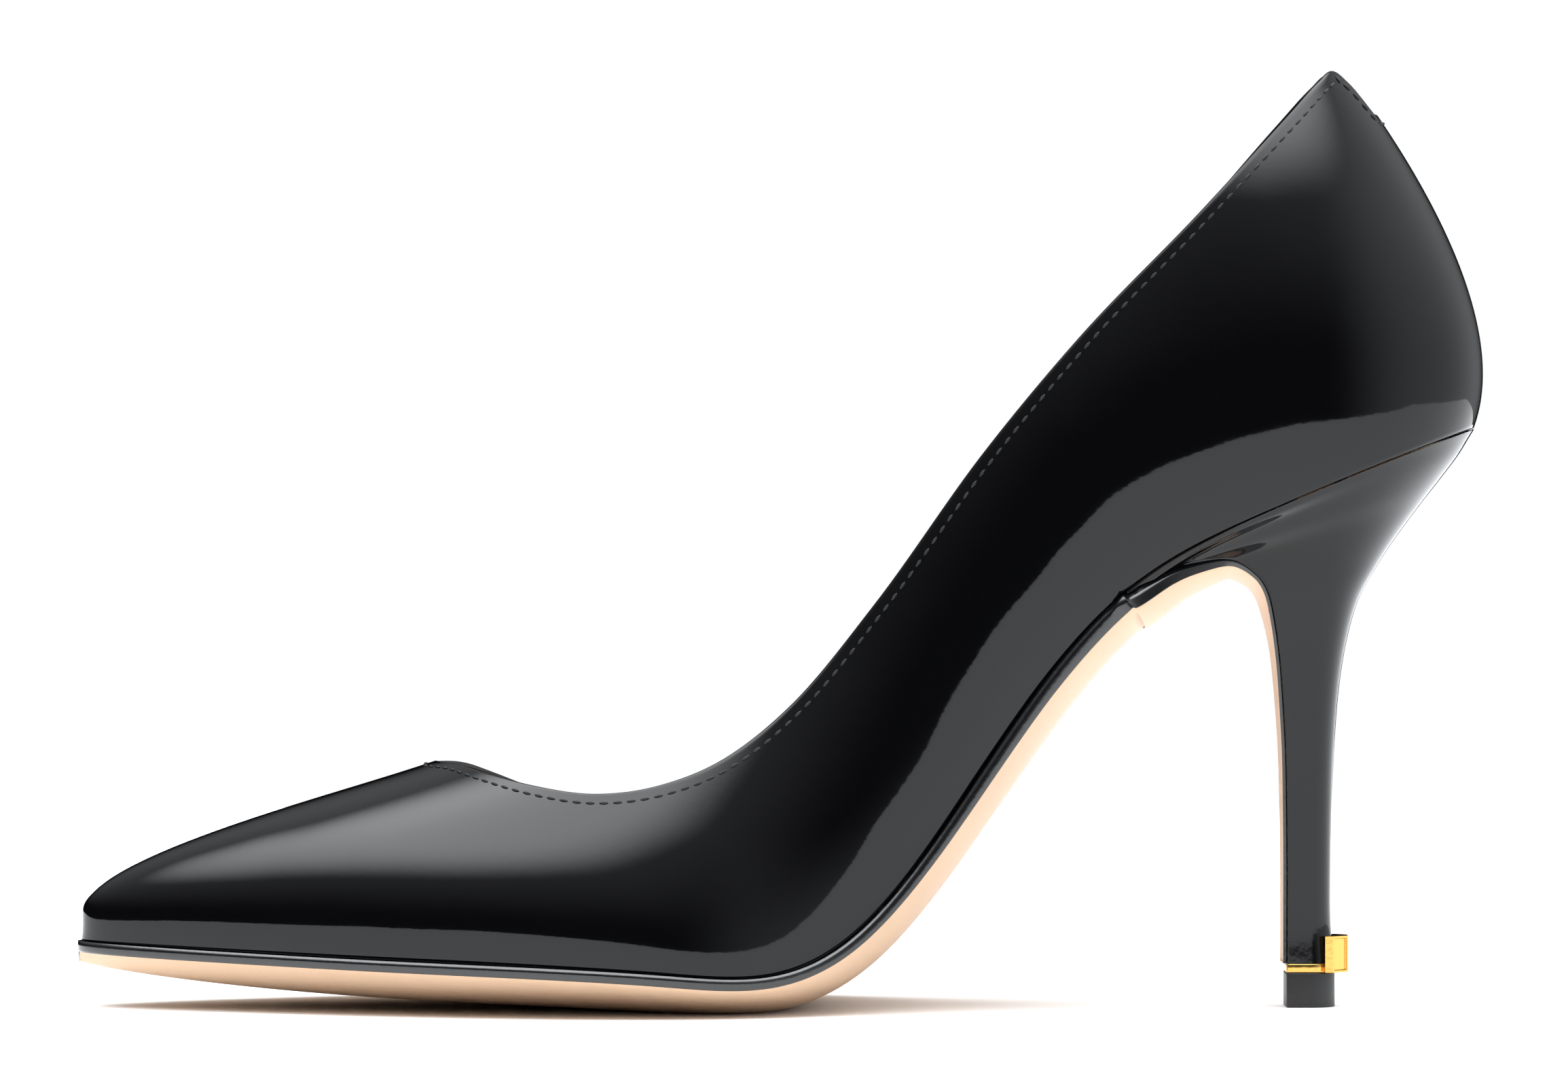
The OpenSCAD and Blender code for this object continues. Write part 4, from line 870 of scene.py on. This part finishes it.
def thread_material():
    """Waxed polyester thread: black, with a soft shine along each twisted strand."""
    material, tree, shader, place = new_material("sewing_thread")
    twist = add_node(tree, "ShaderNodeTexWave", Vector=place, Scale=per_metre(0.6), Distortion=1.0)
    relief = add_node(tree, "ShaderNodeBump", Distance=0.05 * MM, Height=twist.outputs["Fac"])
    join(tree, shader, Base_Color=colour("#0c0c0d"), Roughness=0.45,
         Normal=relief.outputs["Normal"])
    return material


def gilt_brass():
    """Brass, polished and gold plated: a bright mirror with faint wheel marks."""
    material, tree, shader, place = new_material("gilt_brass")
    marks = add_node(tree, "ShaderNodeTexNoise", Vector=place, Scale=per_metre(0.8), Detail=2.0)
    relief = add_node(tree, "ShaderNodeBump", Distance=0.015 * MM, Height=marks.outputs["Fac"])
    join(tree, shader, Base_Color=colour("#d9ab5c"), Metallic=1.0, Roughness=0.16,
         Normal=relief.outputs["Normal"])
    return material


def plain_finish(name, hex_code, roughness, metallic=0.0, grain_mm=0.8, depth_mm=0.03):
    """Moulded, pressed or drawn stock with a fine surface grain."""
    material, tree, shader, place = new_material(name)
    grain = add_node(tree, "ShaderNodeTexNoise", Vector=place, Scale=per_metre(grain_mm),
                     Detail=3.0)
    relief = add_node(tree, "ShaderNodeBump", Distance=depth_mm * MM, Height=grain.outputs["Fac"])
    join(tree, shader, Base_Color=colour(hex_code), Roughness=roughness, Metallic=metallic,
         Normal=relief.outputs["Normal"])
    return material


# ---- the shoe ------------------------------------------------------------------------------------------
def keep(piece, slot, *nodes):
    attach(piece, BODY)
    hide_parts(*nodes)
    return piece


patent = patent_leather("patent_leather")
heel_patent = patent_leather("patent_leather_heel")
lining = calf_lining()
gilt = gilt_brass()
thread = thread_material()
tip_plastic = plain_finish("polyurethane_tip", "#1b1b1c", 0.42, grain_mm=0.9, depth_mm=0.05)

upper = keep(upper_piece([patent]), "patent_leather", "upper")
keep(lining_piece([lining]), "lining_leather", "vamp_lining", "quarter_lining", "heel_grip",
     "topline_tape", "toe_puff", "heel_counter")
keep(sock_piece([lining]), "lining_leather", "sock_lining")
keep(cover_piece([heel_patent]), "patent_leather", "heel_cover")
keep(sole_piece([sole_leather(), edge_paint()]), "sole_leather", "outsole")
keep(tip_piece([tip_plastic]), "tip_plastic", "heel_tip")
keep(band_piece([gilt]), "gold_metal", "heel_band")
keep(plaque_piece([gilt]), "gold_metal", "heel_plaque")
keep(stitch_piece(upper, thread), "thread", "topline_thread")

HIDDEN_FINISHES = {
    "drawn_steel": (("steel_shank", "shank_rivets", "heel_tube", "heel_tip_pin", "heel_screw",
                     "screw_washer", "heel_nails"), ("#9a9a9c", 0.35, 1.0)),
    "fibreboard": (("insole_board",), ("#8f7450", 0.8, 0.0)),
    "cork_filler": (("bottom_filler",), ("#7a5c3c", 0.9, 0.0)),
    "foam_pad": (("ball_cushion", "heel_pad"), ("#e2dcc4", 0.9, 0.0)),
    "moulded_heel": (("heel_core",), ("#cfc3a6", 0.5, 0.0)),
    "gilt_pins": (("plaque_pins",), ("#d9ab5c", 0.25, 1.0)),
}
for finish_name, (nodes, (code, rough, metal)) in HIDDEN_FINISHES.items():
    finish = plain_finish(finish_name, code, rough, metal)
    for node_name in nodes:
        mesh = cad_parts[node_name].data
        mesh.materials.clear()
        mesh.materials.append(finish)


# ---- floor, light and camera -----------------------------------------------------------------------------
FLOOR_HALF_X, FLOOR_NEAR, FLOOR_FAR = 1.5, -0.75, 0.9


def floor_piece():
    """Pale painted table top."""
    mesh = bpy.data.meshes.new("floor")
    ends = ((-FLOOR_HALF_X, FLOOR_NEAR), (FLOOR_HALF_X, FLOOR_NEAR), (FLOOR_HALF_X, FLOOR_FAR),
            (-FLOOR_HALF_X, FLOOR_FAR))
    mesh.from_pydata([(x, y, 0) for x, y in ends], [], [(0, 1, 2, 3)])
    material, tree, shader, _ = new_material("floor_paint")
    join(tree, shader, Base_Color=colour("#f4f4f4"), Roughness=0.6)
    floor = add_piece("floor", mesh, [material])
    return floor


# Each glow: where it starts and where it is full, as a cosine or a height, and its strength
OVERHEAD_DIR = Vector((-0.08, -0.12, 1)).normalized()
OVERHEAD_GLOW = (0.70, 0.93, 6.5)
HEEL_SIDE_GLOW = (0.25, 1.0, 1.1)
HIGH_GLOW = (0.15, 0.8, 0.6)
ROOM_SHADE = "#f9fcff"


def studio_world():
    """White behind the shoe for the eye. For light and reflections it is a dark room with a large
    soft light overhead, a dimmer glow towards the heel's side and a little light from above."""
    world = bpy.data.worlds.new("studio")
    bpy.context.scene.world = world
    world.use_nodes = True
    tree = world.node_tree
    tree.nodes.clear()
    ray = add_node(tree, "ShaderNodeLightPath")
    white = add_node(tree, "ShaderNodeBackground", Color=colour("#ffffff"), Strength=1.0)
    place = add_node(tree, "ShaderNodeTexCoord").outputs["Generated"]
    axes = add_node(tree, "ShaderNodeSeparateXYZ", Vector=place).outputs
    upward = add_node(tree, "ShaderNodeVectorMath", {"operation": "DOT_PRODUCT"},
                      _0=place, _1=OVERHEAD_DIR).outputs["Value"]

    total = 0.0
    for value, (start, full, strength) in ((upward, OVERHEAD_GLOW), (axes["X"], HEEL_SIDE_GLOW),
                                           (axes["Z"], HIGH_GLOW)):
        part = add_node(tree, "ShaderNodeMapRange", {"interpolation_type": "SMOOTHSTEP"},
                        Value=value, From_Min=start, From_Max=full, To_Max=strength)
        total = add_node(tree, "ShaderNodeMath", {"operation": "ADD"},
                         _0=total, _1=part.outputs[0]).outputs[0]
    room = add_node(tree, "ShaderNodeBackground", Color=colour(ROOM_SHADE), Strength=total)
    pick = add_node(tree, "ShaderNodeMixShader", Fac=ray.outputs["Is Camera Ray"],
                    _1=room.outputs[0], _2=white.outputs[0])
    add_node(tree, "ShaderNodeOutputWorld", Surface=pick.outputs[0])


CAMERA_PLACE = (-0.0895, -1.2, 0.079)
SENSOR_MM, LENS_MM = 36, 161.86


def side_camera():
    """Level camera that looks straight at the shoe's inner side."""
    camera = bpy.data.cameras.new("camera")
    camera.sensor_width, camera.lens = SENSOR_MM, LENS_MM
    camera.clip_start, camera.clip_end = 0.05, 50
    holder = bpy.data.objects.new("camera", camera)
    bpy.context.scene.collection.objects.link(holder)
    holder.location = CAMERA_PLACE
    holder.rotation_euler = (math.pi / 2, 0, 0)
    bpy.context.scene.camera = holder


floor_piece()
studio_world()
side_camera()
bpy.context.scene.view_settings.view_transform = "Standard"
